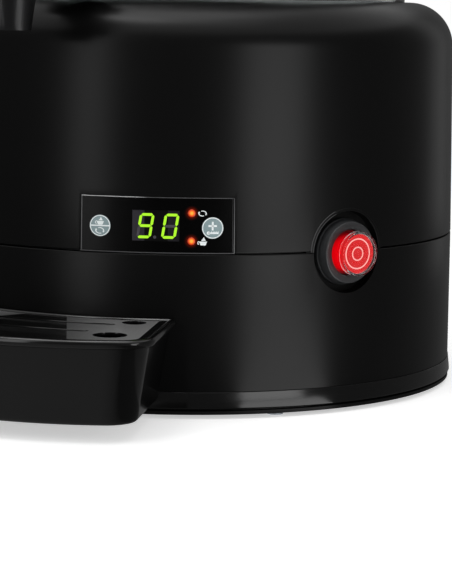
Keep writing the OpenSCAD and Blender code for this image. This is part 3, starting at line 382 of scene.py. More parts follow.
# The side edges of the pocket, turned away from the light
SIDE_EDGING = Finish("side_grey_edging", "#5f5f60", "#666667", (0.35, 0.42), 0.6, 0.03, specular=0.3,
                     fade=Fade(PANEL_AZ, -34.0, 68.0))
# The lower edge of the pocket and its faint second line, a grey painted darker as shade under the wall; and the lines
# on the edges of the recess's lip, which are painted highlights
DIM_EDGING = Finish("dull_grey_edging", "#444445", "#505051", (0.4, 0.5), 0.6, 0.03, specular=0.2)
# Silver-blue printed key caps
KEY = Finish("slate_key_print", "#7e9396", "#889da0", (0.35, 0.45), 0.6, 0.05)
# Pale print of rims and pictograms
PRINT = Finish("pale_screen_print", "#e6eff0", "#f2f7f7", (0.45, 0.55), 0.4, 0.05)
# Dull grey nylon collar of the switch
BEZEL = Finish("grey_black_nylon", "#242526", "#2b2c2e", (0.36, 0.46), 0.6, 0.05, specular=0.4)
# Clear polycarbonate cap of the button: its index is set below the real 1.58, at which it mirrors the white floor
# over the red face
CAP = Finish("clear_polycarbonate_cap", "#fdfafa", "#ffffff", (0.02, 0.04), 4.0, 0.01, transmission=1.0, ior=1.28)
# Pink print of the rings on the button
RING_PRINT = Finish("pink_ring_print", "#e39a95", "#eeb0aa", (0.4, 0.5), 0.4, 0.03, glow="#ff8a84",
                    glow_strength=0.3)
# Red film on the button's face, evenly lit from behind
FACE_FILM = Finish("lit_red_film", "#900308", "#960409", (0.3, 0.36), 0.6, 0.02, specular=0.1, glow="#d80509",
                   glow_strength=0.55)
# Clear polycarbonate bowl: colourless, faintly blue in its edges
BOWL = Finish("clear_polycarbonate", "#f4f9fa", "#f8fbfb", (0.015, 0.03), 18.0, 0.01, transmission=1.0)
# Black acetal copolymer of the tap: smooth, low gloss
TAP = Finish("black_acetal", "#0d0d0e", "#121213", (0.26, 0.34), 0.8, 0.04, specular=0.3)
# White food-grade acetal piston
PISTON = Finish("white_acetal", "#d9d6cf", "#e3e1da", (0.3, 0.4), 0.8, 0.04)
# Drawn spring wire
SPRING = Finish("spring_wire", "#b5b8bc", "#9fa3a8", (0.2, 0.3), 0.4, 0.04, metallic=1.0)
# White polypropylene agitator: milky, slightly waxy
AGITATOR = Finish("white_polypropylene", "#dedcd5", "#e8e6e0", (0.34, 0.42), 1.0, 0.05)
# Black ABS lid, finer blasted than the housing
LID = Finish("fine_satin_black_abs", "#0c0c0c", "#111111", (0.28, 0.34), 0.8, 0.04, specular=0.22)
# White paper sweep that the machine stands on
PAPER = Finish("white_paper", "#f7f7f7", "#f9f9f9", (0.8, 0.9), 2.0, 0.02, drift_mm=400.0, specular=0.1)


def card(name: str, strength: float, **change: object) -> Finish:
    """Describe a flag or card that only reflections meet, with a dull skin and a white light of its own.

    Args:
        name: Name of its material.
        strength: How bright it looks.
        change: The brightness at its far end and the fade to it, where it isn't even.

    Returns:
        The finish.
    """
    return Finish(name, "#050505", "#060606", (0.9, 0.95), 2.0, 0.02, specular=0.0, glow="#ffffff",
                  glow_strength=strength, **change)


# Grey flannel flags round the machine: an even dark grey
FLANNEL = card("grey_flannel", 0.135)
# White card on the floor that carries the right softbox's light on down to the plinth
BRIGHT_CARD = card("lit_white_card", 3.0)
# Grey card in front of the tray, darker to the right
DIM_CARD = card("shaded_grey_card", 0.33, glow_end=0.05, fade=Fade(24.2, -31.0, 20.0))
# White card overhead, for the rounded edges to catch
TOP_CARD = card("overhead_white_card", 4.0)


def turned_to(azimuth: float, height: float) -> Matrix:
    """Give the matrix that sets a piece against the wall: Z outwards, X along the curve and Y up.

    Args:
        azimuth: Turn from the front towards the right, in degrees.
        height: Height of the piece's origin, in millimetres.

    Returns:
        The matrix.
    """
    return (Matrix.Rotation(math.radians(azimuth), 4, "Z") @ Matrix.Translation((0, 0, height))
            @ Matrix.Rotation(math.pi / 2, 4, "X"))


def rounded(corners: Sequence[Corner], closed: bool = True, steps: int = 5) -> list[Point]:
    """Round the corners of an outline.

    Args:
        corners: Corner points, each with the radius of its fillet.
        closed: Whether the last corner joins the first one.
        steps: Number of stretches in each fillet.

    Returns:
        The points of the outline.
    """
    points: list[Point] = []
    count = len(corners)
    for i, (x, y, radius) in enumerate(corners):
        at = Vector((x, y))
        if radius <= 0 or (not closed and i in (0, count - 1)):
            points.append((x, y))
            continue
        before = Vector(corners[i - 1][:2]) - at
        after = Vector(corners[(i + 1) % count][:2]) - at
        half = before.angle(after) / 2
        reach = min(radius / math.tan(half), before.length * 0.49, after.length * 0.49)
        start = before.normalized() * reach
        end = after.normalized() * reach
        centre = (before.normalized() + after.normalized()).normalized() * (reach / math.cos(half))
        sweep = (start - centre).angle_signed(end - centre)
        for k in range(steps + 1):
            arm = start - centre
            arm.rotate(Matrix.Rotation(-sweep * k / steps, 2))
            points.append(tuple(at + centre + arm))
    return points


def arc(centre: Point, radius: float, start: float, end: float, steps: int) -> list[Corner]:
    """Give the points of an arc as corners without fillets.

    Args:
        centre: Centre of the arc.
        radius: Its radius.
        start: Angle of its first point, in degrees.
        end: Angle of its last point, in degrees.
        steps: Number of stretches.

    Returns:
        The points.
    """
    angles = [math.radians(start + (end - start) * i / steps) for i in range(steps + 1)]
    return [(centre[0] + radius * math.cos(a), centre[1] + radius * math.sin(a), 0.0) for a in angles]


def lathe(outline: Sequence[Point], closed: bool = True, steps: int = LATHE_STEPS, start: float = -90.0,
          sweep: float = 360.0) -> bmesh.types.BMesh:
    """Turn an outline of radius and height about the Z axis.

    Args:
        outline: Points of the section.
        closed: Whether the section is a closed loop, and not a line from axis to axis.
        steps: Number of stretches round the axis.
        start: Angle at which the turn starts, in degrees.
        sweep: How far it turns, in degrees.

    Returns:
        The turned shape.
    """
    bm = bmesh.new()
    turn = Matrix.Rotation(math.radians(start), 4, "Z")
    verts = [bm.verts.new(turn @ Vector((r, 0, z))) for r, z in outline]
    pairs = list(zip(verts, verts[1:] + verts[:1] if closed else verts[1:]))
    edges = [bm.edges.new(pair) for pair in pairs]
    whole = sweep >= 360
    if not whole:
        bm.faces.new(verts)
    bmesh.ops.spin(bm, geom=bm.verts[:] + bm.edges[:] + bm.faces[:] if not whole else verts + edges,
                   cent=(0, 0, 0), axis=(0, 0, 1), angle=math.radians(sweep), steps=steps, use_merge=whole)
    tidy(bm)
    return bm


def spindle(section: Sequence[Corner], steps: int, fillet_steps: int = 5) -> bmesh.types.BMesh:
    """Turn a section with rounded corners that starts and ends on the axis.

    Args:
        section: Its corners, each with the radius of its fillet.
        steps: Number of stretches round the axis.
        fillet_steps: Number of stretches in each fillet.

    Returns:
        The turned shape.
    """
    return lathe(rounded(section, closed=False, steps=fillet_steps), closed=False, steps=steps)


def washer(radii: Point, low: float, high: float, edge: float = 0.0, **turn: float) -> bmesh.types.BMesh:
    """Turn a flat ring.

    Args:
        radii: Its inner and outer radius.
        low: Height of its underside.
        high: Height of its face.
        edge: Radius of the fillets along its face.
        turn: The steps of the turn, and its start and sweep where it isn't a whole ring.

    Returns:
        The ring.
    """
    inner, outer = radii
    return lathe(rounded([(inner, low, 0), (outer, low, 0), (outer, high, edge), (inner, high, edge)]), **turn)


def sheet(corners: Iterable[Sequence[float]]) -> bmesh.types.BMesh:
    """Make a shape with a single face from its corners."""
    bm = bmesh.new()
    bm.faces.new([bm.verts.new(corner) for corner in corners])
    return bm


def tidy(bm: bmesh.types.BMesh, gap: float = 0.001) -> None:
    """Merge the doubles of a shape and turn its faces outwards."""
    bmesh.ops.remove_doubles(bm, verts=bm.verts, dist=gap)
    bmesh.ops.recalc_face_normals(bm, faces=bm.faces)


def box(low: Sequence[float], high: Sequence[float], round_off: float = 0.0) -> bmesh.types.BMesh:
    """Make a block between two corners, with its edges rounded off.

    Args:
        low: The lowest corner.
        high: The highest corner.
        round_off: Radius of its edges.

    Returns:
        The block.
    """
    bm = bmesh.new()
    size = Vector(high) - Vector(low)
    place = Matrix.Translation((Vector(low) + Vector(high)) / 2) @ Matrix.Diagonal((*size, 1))
    bmesh.ops.create_cube(bm, size=1, matrix=place)
    if round_off:
        bmesh.ops.bevel(bm, geom=bm.edges[:], offset=round_off, segments=4, profile=0.5, affect="EDGES",
                        material=-1)
    return bm


def rod(radius: float, z0: float, z1: float, steps: int = 64, edge: float = 0.0) -> bmesh.types.BMesh:
    """Make a round bar between two heights.

    Args:
        radius: Its radius.
        z0: Its lower end.
        z1: Its upper end.
        steps: Number of stretches round it.
        edge: Radius of the fillets at its ends.

    Returns:
        The bar.
    """
    return spindle([(0, z0, 0), (radius, z0, edge), (radius, z1, edge), (0, z1, 0)], steps)


def moved(bm: bmesh.types.BMesh, matrix: Matrix) -> bmesh.types.BMesh:
    """Move a shape and give it back."""
    bmesh.ops.transform(bm, matrix=matrix, verts=bm.verts)
    return bm


def joined(shapes: Iterable[bmesh.types.BMesh]) -> bmesh.types.BMesh:
    """Put several shapes into one, without merging them.

    Args:
        shapes: The shapes, which are used up.

    Returns:
        All of them as one shape.
    """
    whole = bmesh.new()
    for shape in shapes:
        mesh = bpy.data.meshes.new("part")
        shape.to_mesh(mesh)
        shape.free()
        whole.from_mesh(mesh)
        bpy.data.meshes.remove(mesh)
    return whole


def as_object(name: str, bm: bmesh.types.BMesh, *finishes: Finish) -> bpy.types.Object:
    """Put a shape into the scene.

    Args:
        name: Name of the object.
        bm: Its shape, which is used up.
        finishes: Its materials.

    Returns:
        The object.
    """
    mesh = bpy.data.meshes.new(name)
    bm.to_mesh(mesh)
    bm.free()
    for finish in finishes:
        mesh.materials.append(finish.material())
    made = bpy.data.objects.new(name, mesh)
    bpy.context.scene.collection.objects.link(made)
    return made


class Carve(Enum):
    """What a carving tool does to a shape."""

    CUT = "DIFFERENCE"
    ADD = "UNION"


def carved(bm: bmesh.types.BMesh, tool: bmesh.types.BMesh, how: Carve = Carve.CUT) -> bmesh.types.BMesh:
    """Cut a tool out of a shape, or add it.

    Args:
        bm: The shape, which is used up.
        tool: The tool, which is used up. Its parts may touch one another.
        how: Whether the tool is cut or added.

    Returns:
        The carved shape.
    """
    pair = [as_object("blank", bm), as_object("tool", tool)]
    modifier = pair[0].modifiers.new("carve", "BOOLEAN")
    modifier.operation = how.value
    modifier.solver = "EXACT"
    modifier.use_self = True
    modifier.object = pair[1]
    bpy.context.view_layer.update()
    result = pair[0].evaluated_get(bpy.context.evaluated_depsgraph_get())
    mesh = bpy.data.meshes.new_from_object(result)
    done = bmesh.new()
    done.from_mesh(mesh)
    used_up = [mesh, *(made.data for made in pair)]
    for made in pair:
        bpy.data.objects.remove(made)
    for old in used_up:
        bpy.data.meshes.remove(old)
    bmesh.ops.remove_doubles(done, verts=done.verts, dist=WELD)
    return done


def soften_edges(bm: bmesh.types.BMesh, edges: Iterable[bmesh.types.BMEdge], radius: float,
                 segments: int = 3) -> None:
    """Round some edges of a shape.

    Args:
        bm: The shape.
        edges: The edges to round.
        radius: Radius of the fillet.
        segments: Number of stretches in it.
    """
    bmesh.ops.bevel(bm, geom=list(edges), offset=radius, offset_type="OFFSET", segments=segments, profile=0.5,
                    affect="EDGES", clamp_overlap=True, material=-1)


def sharp_edges(bm: bmesh.types.BMesh, least: float = 40.0) -> list[bmesh.types.BMEdge]:
    """Give the edges at which a shape turns by more than an angle in degrees."""
    return [e for e in bm.edges if e.is_manifold and e.calc_face_angle(0) > math.radians(least)]


def piece(name: str, bm: bmesh.types.BMesh, finish: Finish, body: str,
          replaces: Sequence[str] = (), scaled: bool = False) -> bpy.types.Object:
    """Finish a shape as a piece that rides on a body.

    Args:
        name: Name of the piece.
        bm: Its shape, which is used up.
        finish: Its material.
        body: The body that it moves with.
        replaces: The solids that it stands for.
        scaled: Whether the shape is already in metres and in its place.

    Returns:
        The piece.
    """
    made = as_object(name, bm if scaled else moved(bm, TO_FRAME), finish)
    made.data.shade_smooth()
    made.data.set_sharp_from_angle(angle=SHARP_ANGLE)
    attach(made, body)
    if replaces:
        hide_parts(*replaces)
    LOG.info("%s: %d faces on %s", name, len(made.data.polygons), body)
    return made


def softened_copy(node: str, finish: Finish, body: str, radius: float) -> bpy.types.Object:
    """Stand a copy with rounded edges in the place of a solid.

    Args:
        node: The solid's name.
        finish: Material of the copy.
        body: The body that it moves with.
        radius: Radius of the fillets, in millimetres.

    Returns:
        The copy.
    """
    bm = bmesh.new()
    bm.from_mesh(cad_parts[node].data)
    bmesh.ops.remove_doubles(bm, verts=bm.verts, dist=WELD_SOLID)
    bmesh.ops.dissolve_limit(bm, angle_limit=FLAT_ANGLE, verts=bm.verts, edges=bm.edges)
    soften_edges(bm, sharp_edges(bm), radius * MM, 2)
    bmesh.ops.remove_doubles(bm, verts=bm.verts, dist=WELD_SOLID)
    return piece(node + "_moulding", bm, finish, body, [node], scaled=True)


def dress(finish: Finish, slot: str, *nodes: str) -> None:
    """Give solids that stay as they are their material.

    Args:
        finish: The material.
        slot: Not used.
        nodes: Names of the solids.
    """
    for name in nodes:
        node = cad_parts[name]
        node.data.materials.clear()
        node.data.materials.append(finish.material())
        LOG.info("%s: solid, %s", name, finish.name)


@dataclass
class Studio:
    """The camera, the floor, the softboxes, and the flags and cards that only reflections meet."""

    camera_place: tuple[float, float, float] = (464.9, -996.9, 188.2)
    heading: float = 23.74
    pitch: float = 7.67
    roll: float = 1.0
    lens: float = 132.27
    near_clip: float = 0.05
    aim_h: float = 0.25
    floor_reach: float = 9.0
    world_level: float = 0.45
    floor_lift: float = 0.5
    cove: tuple[Point, ...] = ((118.0, 1.0), (690.0, 1.0), (730.0, 40.0), (730.0, 560.0))
    key_card: tuple[Point, ...] = ((91.0, -119.0), (119.0, -77.0), (600.0, -135.0), (465.0, -412.0))
    top_card: tuple[Point, ...] = ((-420.0, -640.0), (420.0, -640.0), (420.0, 40.0), (-420.0, 40.0))
    tray_card: tuple[Point, ...] = ((-170.0, -190.0), (40.0, -190.0), (66.0, -132.0), (172.0, -217.0),
                                    (150.0, -420.0), (-170.0, -420.0))
    floor_card_h: float = 1.5
    top_card_h: float = 1250.0
    tray_flag: tuple[Point, Point] = ((66.0, -130.0), (170.0, -215.0))
    tray_flag_span: Point = (2.0, 62.0)

    def camera(self) -> None:
        """Set the camera where the photograph was taken from."""
        turn, dip = math.radians(self.heading), math.radians(self.pitch)
        ahead = Vector((-math.sin(turn) * math.cos(dip), math.cos(turn) * math.cos(dip), -math.sin(dip)))
        across = Vector((math.cos(turn), math.sin(turn), 0.0))
        lean = Matrix.Rotation(math.radians(-self.roll), 3, ahead)
        right = lean @ across
        upward = lean @ across.cross(ahead)
        data = bpy.data.cameras.new("camera")
        data.lens = self.lens
        data.clip_start = self.near_clip
        made = bpy.data.objects.new("camera", data)
        bpy.context.scene.collection.objects.link(made)
        axes = Matrix((right, upward, -ahead)).transposed().to_4x4()
        made.matrix_world = Matrix.Translation(TO_FRAME @ Vector(self.camera_place)) @ axes
        bpy.context.scene.camera = made

    def softbox(self, name: str, azimuth: float, distance: float, size: Point, middle: float,
                radiance: float) -> None:
        """Hang one softbox that faces the machine.

        Args:
            name: Its name.
            azimuth: Where it stands, in degrees from the front towards the right.
            distance: How far it is from the drive axis, in metres.
            size: Its width and height, in metres.
            middle: Height of its middle, in metres.
            radiance: Brightness of its face.
        """
        light = bpy.data.lights.new(name, "AREA")
        light.shape = "RECTANGLE"
        light.size, light.size_y = size
        light.energy = radiance * math.pi * size[0] * size[1]
        made = bpy.data.objects.new(name, light)
        bpy.context.scene.collection.objects.link(made)
        side = math.radians(azimuth)
        made.location = AXIS + Vector((math.sin(side) * distance, -math.cos(side) * distance, middle))
        aim = AXIS + Vector((0, 0, min(middle, self.aim_h)))
        made.rotation_euler = (aim - made.location).to_track_quat("-Z", "Y").to_euler()
        made.visible_camera = False

    def lights(self) -> None:
        """Hang the softboxes: one to the right, one nearly in front, two weak ones behind and two above."""
        self.softbox("right_softbox", 59.0, 0.62, (0.26, 0.24), 0.13, 3.3)
        self.softbox("front_softbox", -8.5, 0.62, (0.14, 0.5), 0.25, 2.4)
        self.softbox("back_right_strip", 150.0, 0.66, (0.2, 0.5), 0.25, 0.3)
        self.softbox("back_left_strip", -120.0, 0.66, (0.24, 0.5), 0.25, 1.2)
        self.softbox("top_strip", -15.0, 0.5, (0.6, 0.12), 1.0, 6.0)
        self.softbox("overhead", 20.0, 0.35, (1.7, 1.7), 1.9, 1.0)

    def reflected(self, name: str, bm: bmesh.types.BMesh, finish: Finish) -> None:
        """Set up something that only reflections meet.

        Args:
            name: Its name.
            bm: Its shape, in millimetres from the drive axis.
            finish: Its material.
        """
        made = as_object(name, moved(bm, TO_FRAME), finish)
        made.visible_camera = made.visible_diffuse = made.visible_shadow = False
        made.visible_transmission = made.visible_volume_scatter = False

    def flags(self) -> None:
        """Stand grey flags round the machine and lay cards on the floor and overhead, for its mouldings to mirror."""
        self.reflected("flags", lathe(self.cove, closed=False, steps=128), FLANNEL)
        for name, outline, height, finish in (("key_card", self.key_card, self.floor_card_h, BRIGHT_CARD),
                                              ("tray_card", self.tray_card, self.floor_card_h, DIM_CARD),
                                              ("top_card", self.top_card, self.top_card_h, TOP_CARD)):
            self.reflected(name, sheet((*corner, height) for corner in outline), finish)
        (near, far), (foot, head) = self.tray_flag, self.tray_flag_span
        self.reflected("tray_flag", sheet([(*near, foot), (*far, foot), (*far, head), (*near, head)]), FLANNEL)

    def backdrop_level(self, tree: bpy.types.NodeTree, low: float, high: float) -> bpy.types.NodeSocket:
        """Tell where the background itself is seen, straight on, in a reflection or through something clear.

        Args:
            tree: The node tree of the floor or the world.
            low: The level for the light that falls on the machine.
            high: The level where the background is seen.

        Returns:
            The socket with the level.
        """
        seen = add_node(tree, "ShaderNodeLightPath").outputs
        either = add_node(tree, "ShaderNodeMath", {0: seen["Is Camera Ray"], 1: seen["Is Transmission Ray"]},
                          operation="MAXIMUM")
        mirrored = add_node(tree, "ShaderNodeMath", {0: either.outputs[0], 1: seen["Is Glossy Ray"]},
                            operation="MAXIMUM")
        return add_node(tree, "ShaderNodeMapRange", {"Value": mirrored.outputs[0]},
                        {"To Min": low, "To Max": high}).outputs["Result"]

    def surroundings(self) -> None:
        """Lay the white floor and set the even light of the room."""
        bm = bmesh.new()
        bmesh.ops.create_circle(bm, cap_ends=True, segments=96, radius=self.floor_reach,
                                matrix=Matrix.Translation(AXIS))
        floor = as_object("floor", bm, PAPER)
        paper = PAPER.material()
        shader = next(node for node in paper.node_tree.nodes if node.type == "BSDF_PRINCIPLED")
        shader.inputs["Emission Color"].default_value = (1, 1, 1, 1)
        paper.node_tree.links.new(self.backdrop_level(paper.node_tree, 0.0, self.floor_lift),
                                  shader.inputs["Emission Strength"])
        world = bpy.data.worlds.new("room")
        bpy.context.scene.world = world
        world.use_nodes = True
        tree = world.node_tree
        tree.nodes.clear()
        air = add_node(tree, "ShaderNodeBackground", {"Strength": self.backdrop_level(tree, self.world_level, 1.0)},
                       {"Color": (1, 1, 1, 1)})
        add_node(tree, "ShaderNodeOutputWorld", {"Surface": air.outputs["Background"]})

    def build(self) -> None:
        """Set up the whole studio."""
        bpy.context.scene.view_settings.view_transform = "Standard"
        self.camera()
        self.surroundings()
        self.flags()
        self.lights()


@dataclass
class BaseHousing:
    """The two housings, the plinth and the well of the switch."""

    base_r: float = BASE_R
    plinth_inner_r: float = 125.0
    plate_top: float = 3.6
    plinth_z: float = 4.6
    plinth_top: float = 12.3
    plinth_step: float = 2.5
    plinth_flare: float = 0.85
    lower_r0: float = 138.9
    seam_r: float = 138.5
    seam_inner_r: float = 135.5
    upper_r1: float = 136.8
    wall: float = 3.0
    seam_h: float = 75.7
    seam_gap: float = 0.6
    joint_gap: float = 0.3
    joint_t: float = 1.6
    joint_rise: float = 2.0
    joint_depth: float = 12.0
    deck_h: float = 186.0
    rim_h: float = 190.0
    shoulder_r: float = 22.0
    deck_t: float = 3.0
    deck_hole_r: float = 100.0
    deck_pocket_r: float = 113.2
    panel_az: float = PANEL_AZ
    panel_half: float = 14.489
    panel_top: float = 101.7
    panel_floor_r: float = 136.7
    panel_bevel: float = 1.0
    panel_slope: float = 1.0 / 1.8
    key_angle: float = KEY_ANGLE
    key_z: float = KEY_Z
    stem_hole_r: float = 2.0
    switch_az: float = SWITCH_AZ
    switch_z: float = SWITCH_Z
    recess_r: float = 19.0
    recess_floor: float = SWITCH_FLOOR
    well_wall: float = 3.0
    barrel_r: float = 11.2
    lip_w: float = 1.5
    lip_span: Point = (-0.8, 0.22)
    highlight_line_w: float = 0.24
    highlight_line_h: float = 0.27
    bar_t: float = 0.62
    bar_round: float = 0.08
    ring_gap: float = 3.0
    gland_z: float = 32.3
    gland_r: float = 8.1
    gland_pad_r: float = 14.0
    gland_pad: float = 139.4
    tongue_x: float = TONGUE_X
    tongue_size: tuple[float, float, float] = (18.6, 50.0, 3.6)
    tongue_z: float = TONGUE_Z
    vent_size: Point = (4.0, 28.0)
    vent_z: float = 48.3
    vent_start: float = 15.0
    vent_step: float = 5.5
    vent_count: int = 5

    @property
    def switch_place(self) -> Matrix:
        """The place of the switch's axis."""
        return turned_to(self.switch_az, self.switch_z)

    def wall_r(self, height: float) -> float:
        """Give the radius of the upper housing's outer face at a height."""
        top = self.rim_h - self.shoulder_r
        share = (height - self.seam_h) / (top - self.seam_h)
        return self.seam_r + (self.upper_r1 - self.seam_r) * share

    def plinth(self) -> None:
        """Turn the glossy plinth, flared towards its foot."""
        foot, head = self.base_r - self.plinth_step, self.base_r - self.plinth_flare
        section = [(self.plinth_inner_r, self.plate_top, 0), (foot, self.plate_top, 0.2), (foot, self.plinth_z, 0.15),
                   (self.base_r, self.plinth_z, 0.7), (head, self.plinth_top, 0.12),
                   (self.plinth_inner_r, self.plinth_top, 0)]
        piece("plinth_moulding", lathe(rounded(section)), PLINTH, "base", ["plinth_ring"])

    def recess_tool(self) -> bmesh.types.BMesh:
        """Make the tool that cuts the recess of the switch."""
        return moved(rod(self.recess_r, self.recess_floor, self.base_r + 10, 128), self.switch_place)

    def lower(self) -> None:
        """Turn the lower housing and cut the recess, the vents, the gland hole and the tray's slots."""
        seam = self.seam_h - self.seam_gap / 2
        lip = self.seam_inner_r - self.joint_gap
        lip_in = lip - self.joint_t
        lip_top, lip_foot = self.seam_h + self.joint_rise, self.seam_h - self.joint_depth
        ring_z = self.switch_z - self.recess_r - self.ring_gap
        ring_share = (ring_z - self.plinth_top) / (seam - self.plinth_top)
        ring_r = self.lower_r0 + (self.seam_r - self.lower_r0) * ring_share
        section = [(self.lower_r0 - self.wall, self.plinth_top, 0.2), (self.lower_r0, self.plinth_top, 0.4),
                   (ring_r, ring_z, 0), (self.seam_r, seam, 0.7), (lip, seam, 0.1), (lip, lip_top, 0.3),
                   (lip_in, lip_top, 0.3), (lip_in, lip_foot, 0.5), (self.seam_inner_r + 0.1, lip_foot - 2, 0.5)]
        bm = lathe(rounded(section))
        pad = moved(rod(self.gland_pad_r, self.lower_r0 - self.wall - 1, self.gland_pad, 64, 0.4),
                    turned_to(180, self.gland_z))
        bm = carved(bm, pad, Carve.ADD)
        half_w, half_h = self.vent_size[0] / 2, self.vent_size[1] / 2
        tools = [self.recess_tool(),
                 moved(rod(self.gland_r, self.lower_r0 - 20, self.base_r + 5), turned_to(180, self.gland_z))]
        for side in (-1, 1):
            size = Vector(self.tongue_size) / 2
            at = Vector((side * self.tongue_x, -self.lower_r0, self.tongue_z))
            tools.append(box(at - size, at + size))
            for i in range(self.vent_count):
                slot = box((-half_w, -half_h, self.lower_r0 - 10), (half_w, half_h, self.lower_r0 + 10), 1.4)
                tools.append(moved(slot, turned_to(180 + side * (self.vent_start + self.vent_step * i), self.vent_z)))
        bm = carved(bm, joined(tools))
        piece("lower_housing_shell", bm, HOUSING, "base", ["lower_housing"])

    def panel_tool(self) -> bmesh.types.BMesh:
        """Make the tool that cuts the panel's pocket, with slanted sides.

        Returns:
            The tool.
        """
        outer = self.seam_r + 3
        section = [(self.panel_floor_r, self.seam_h - 4), (outer, self.seam_h - 4),
                   (outer, self.panel_top + 3 * self.panel_slope),
                   (self.panel_floor_r, self.panel_top - self.panel_bevel)]
        bm = lathe(section, steps=28, start=self.panel_az - self.panel_half - 90, sweep=2 * self.panel_half)
        for vert in bm.verts:
            radius = math.hypot(vert.co.x, vert.co.y)
            angle = math.degrees(math.atan2(vert.co.x, -vert.co.y)) - self.panel_az
            flare = math.degrees(self.panel_slope * (radius - self.panel_floor_r) / radius)
            angle = math.radians(self.panel_az + angle * (1 + flare / self.panel_half))
            vert.co.x, vert.co.y = radius * math.sin(angle), -radius * math.cos(angle)
        bmesh.ops.recalc_face_normals(bm, faces=bm.faces)
        return bm

    def upper(self) -> None:
        """Turn the upper housing with its shoulder and deck, and cut the panel's pocket and the recess."""
        seam = self.seam_h + self.seam_gap / 2
        top = self.rim_h - self.shoulder_r
        inner = self.upper_r1 - self.wall
        under = self.deck_h - self.deck_t
        dip = math.degrees(math.asin((under - top) / (self.shoulder_r - self.wall)))
        middle = (self.upper_r1 - self.shoulder_r, top)
        ring_z = self.panel_top + self.ring_gap
        section = [(self.seam_inner_r, seam, 0.3), (self.seam_r, seam, 0.55), (self.wall_r(ring_z), ring_z, 0),
                   *arc(middle, self.shoulder_r, 0, 90, 20),
                   (self.deck_pocket_r, self.rim_h, 0.7), (self.deck_pocket_r, self.deck_h, 0.5),
                   (self.deck_hole_r, self.deck_h, 0.4), (self.deck_hole_r, under, 0.4),
                   *arc(middle, inner - middle[0], dip, 0, 8)]
        bm = lathe(rounded(section), start=self.panel_az - 90)
        bm = carved(bm, self.panel_tool())
        rim = [e for e in sharp_edges(bm, 25) if self.on_panel_rim(e)]
        soften_edges(bm, rim, 0.42)
        bm = carved(bm, self.recess_tool())
        stems = [moved(rod(self.stem_hole_r, inner - 4, self.seam_r),
                       turned_to(self.panel_az + side * self.key_angle, self.key_z)) for side in (-1, 1)]
        bm = carved(bm, joined(stems))
        piece("upper_housing_shell", bm, HOUSING, "base", ["upper_housing"])

    def on_panel_rim(self, edge: bmesh.types.BMEdge) -> bool:
        """Tell whether an edge is where the panel's pocket meets the wall.

        Args:
            edge: The edge.

        Returns:
            True on the rim of the pocket.
        """
        for vert in edge.verts:
            radius = math.hypot(vert.co.x, vert.co.y)
            angle = math.degrees(math.atan2(vert.co.x, -vert.co.y)) - self.panel_az
            inside = abs(angle) < self.panel_half + 2 and vert.co.z < self.panel_top + 2
            if not inside or abs(radius - self.wall_r(vert.co.z)) > 0.25 or vert.co.z < self.seam_h + 0.2:
                return False
        return True

    def on_wall(self, bm: bmesh.types.BMesh) -> bmesh.types.BMesh:
        """Bend a flat shape that lies round the switch onto the wall.

        Args:
            bm: The shape, drawn about the switch's axis.

        Returns:
            The shape in its place.
        """
        for vert in bm.verts:
            radius = self.wall_r(self.switch_z + vert.co.y)
            vert.co.z += math.sqrt(radius ** 2 - vert.co.x ** 2)
        return moved(bm, self.switch_place)

    def switch_well(self) -> None:
        """Turn the cup behind the recess, the thin lip on the upper half of its edge and the grey lines painted as
        highlights on the lip's edges.
        """
        outer = self.recess_r + self.well_wall
        top = self.seam_r - 1.2
        section = [(self.barrel_r, self.recess_floor - self.well_wall), (outer, self.recess_floor - self.well_wall),
                   (outer, top), (self.recess_r, top), (self.recess_r, self.recess_floor),
                   (self.barrel_r, self.recess_floor)]
        bm = lathe(section, steps=128)
        for vert in bm.verts:
            if vert.co.z > top - 0.1:
                vert.co.z = math.sqrt(top ** 2 - vert.co.x ** 2)
        piece("switch_well", moved(bm, self.switch_place), HOUSING, "base")
        lip_end = self.recess_r + self.lip_w
        lip = washer((self.recess_r, lip_end), *self.lip_span, 0.2, steps=96, start=2, sweep=176)
        piece("recess_lip", self.on_wall(lip), HOUSING, "base")
        # Grey lines along both edges of the lip, on its upper left arc only: painted highlights
        half = self.highlight_line_w / 2
        highlight_lines = [washer((middle - half, middle + half), 0.0, self.highlight_line_h, steps=48, start=112, sweep=66)
                  for middle in (self.recess_r + 0.3, lip_end)]
        piece("recess_lip_highlight_lines", self.on_wall(joined(highlight_lines)), DIM_EDGING, "base")

    def panel_edge(self, low: float, high: float, start: float, end: float, depth: float) -> bmesh.types.BMesh:
        """Turn one thin bar of the edging round the panel's pocket.

        Args:
            low: Height of its lower edge.
            high: Height of its upper edge.
            start: Its left end, in millimetres from the panel's middle.
            end: Its right end, in millimetres from the panel's middle.
            depth: How far its front lies behind the wall.

        Returns:
            The bar, which stands a little in front of the pocket's side.
        """
        section = []
        for height, side in ((low, 0.0), (low, 1.0), (high, 1.0), (high, 0.0)):
            section.append((self.wall_r(height) - depth - self.bar_t * (1 - side), height, self.bar_round * side))
        first, last = (math.degrees(place / self.seam_r) for place in (start, end))
        steps = max(2, round((last - first) * 2))
        return lathe(rounded(section), steps=steps, start=self.panel_az + first - 90, sweep=last - first)

    def edging(self) -> None:
        """Frame the panel's pocket with a thin grey edge, doubled on the right."""
        half = math.radians(self.panel_half) * self.seam_r
        low, high = self.seam_h + 0.12, self.panel_top - 0.6
        # The upper bar, whose grey carries a painted highlight at its left end
        piece("panel_edging", self.panel_edge(high - 0.32, high + 0.32, -half, half + 0.6, 0.72), EDGING, "base")
        sides = [self.panel_edge(low, high, -half - 0.1, -half + 0.3, 0.9),
                 self.panel_edge(low, high, half + 0.55, half + 0.95, 0.1)]
        piece("panel_side_edging", joined(sides), SIDE_EDGING, "base")
        # The lower bar and the right side's second line, in a grey painted darker as shade
        faint = [self.panel_edge(low, low + 0.34, -half, half + 0.9, -0.08),
                 self.panel_edge(low, high, half, half + 0.18, 0.9)]
        piece("panel_lower_edging", joined(faint), DIM_EDGING, "base")

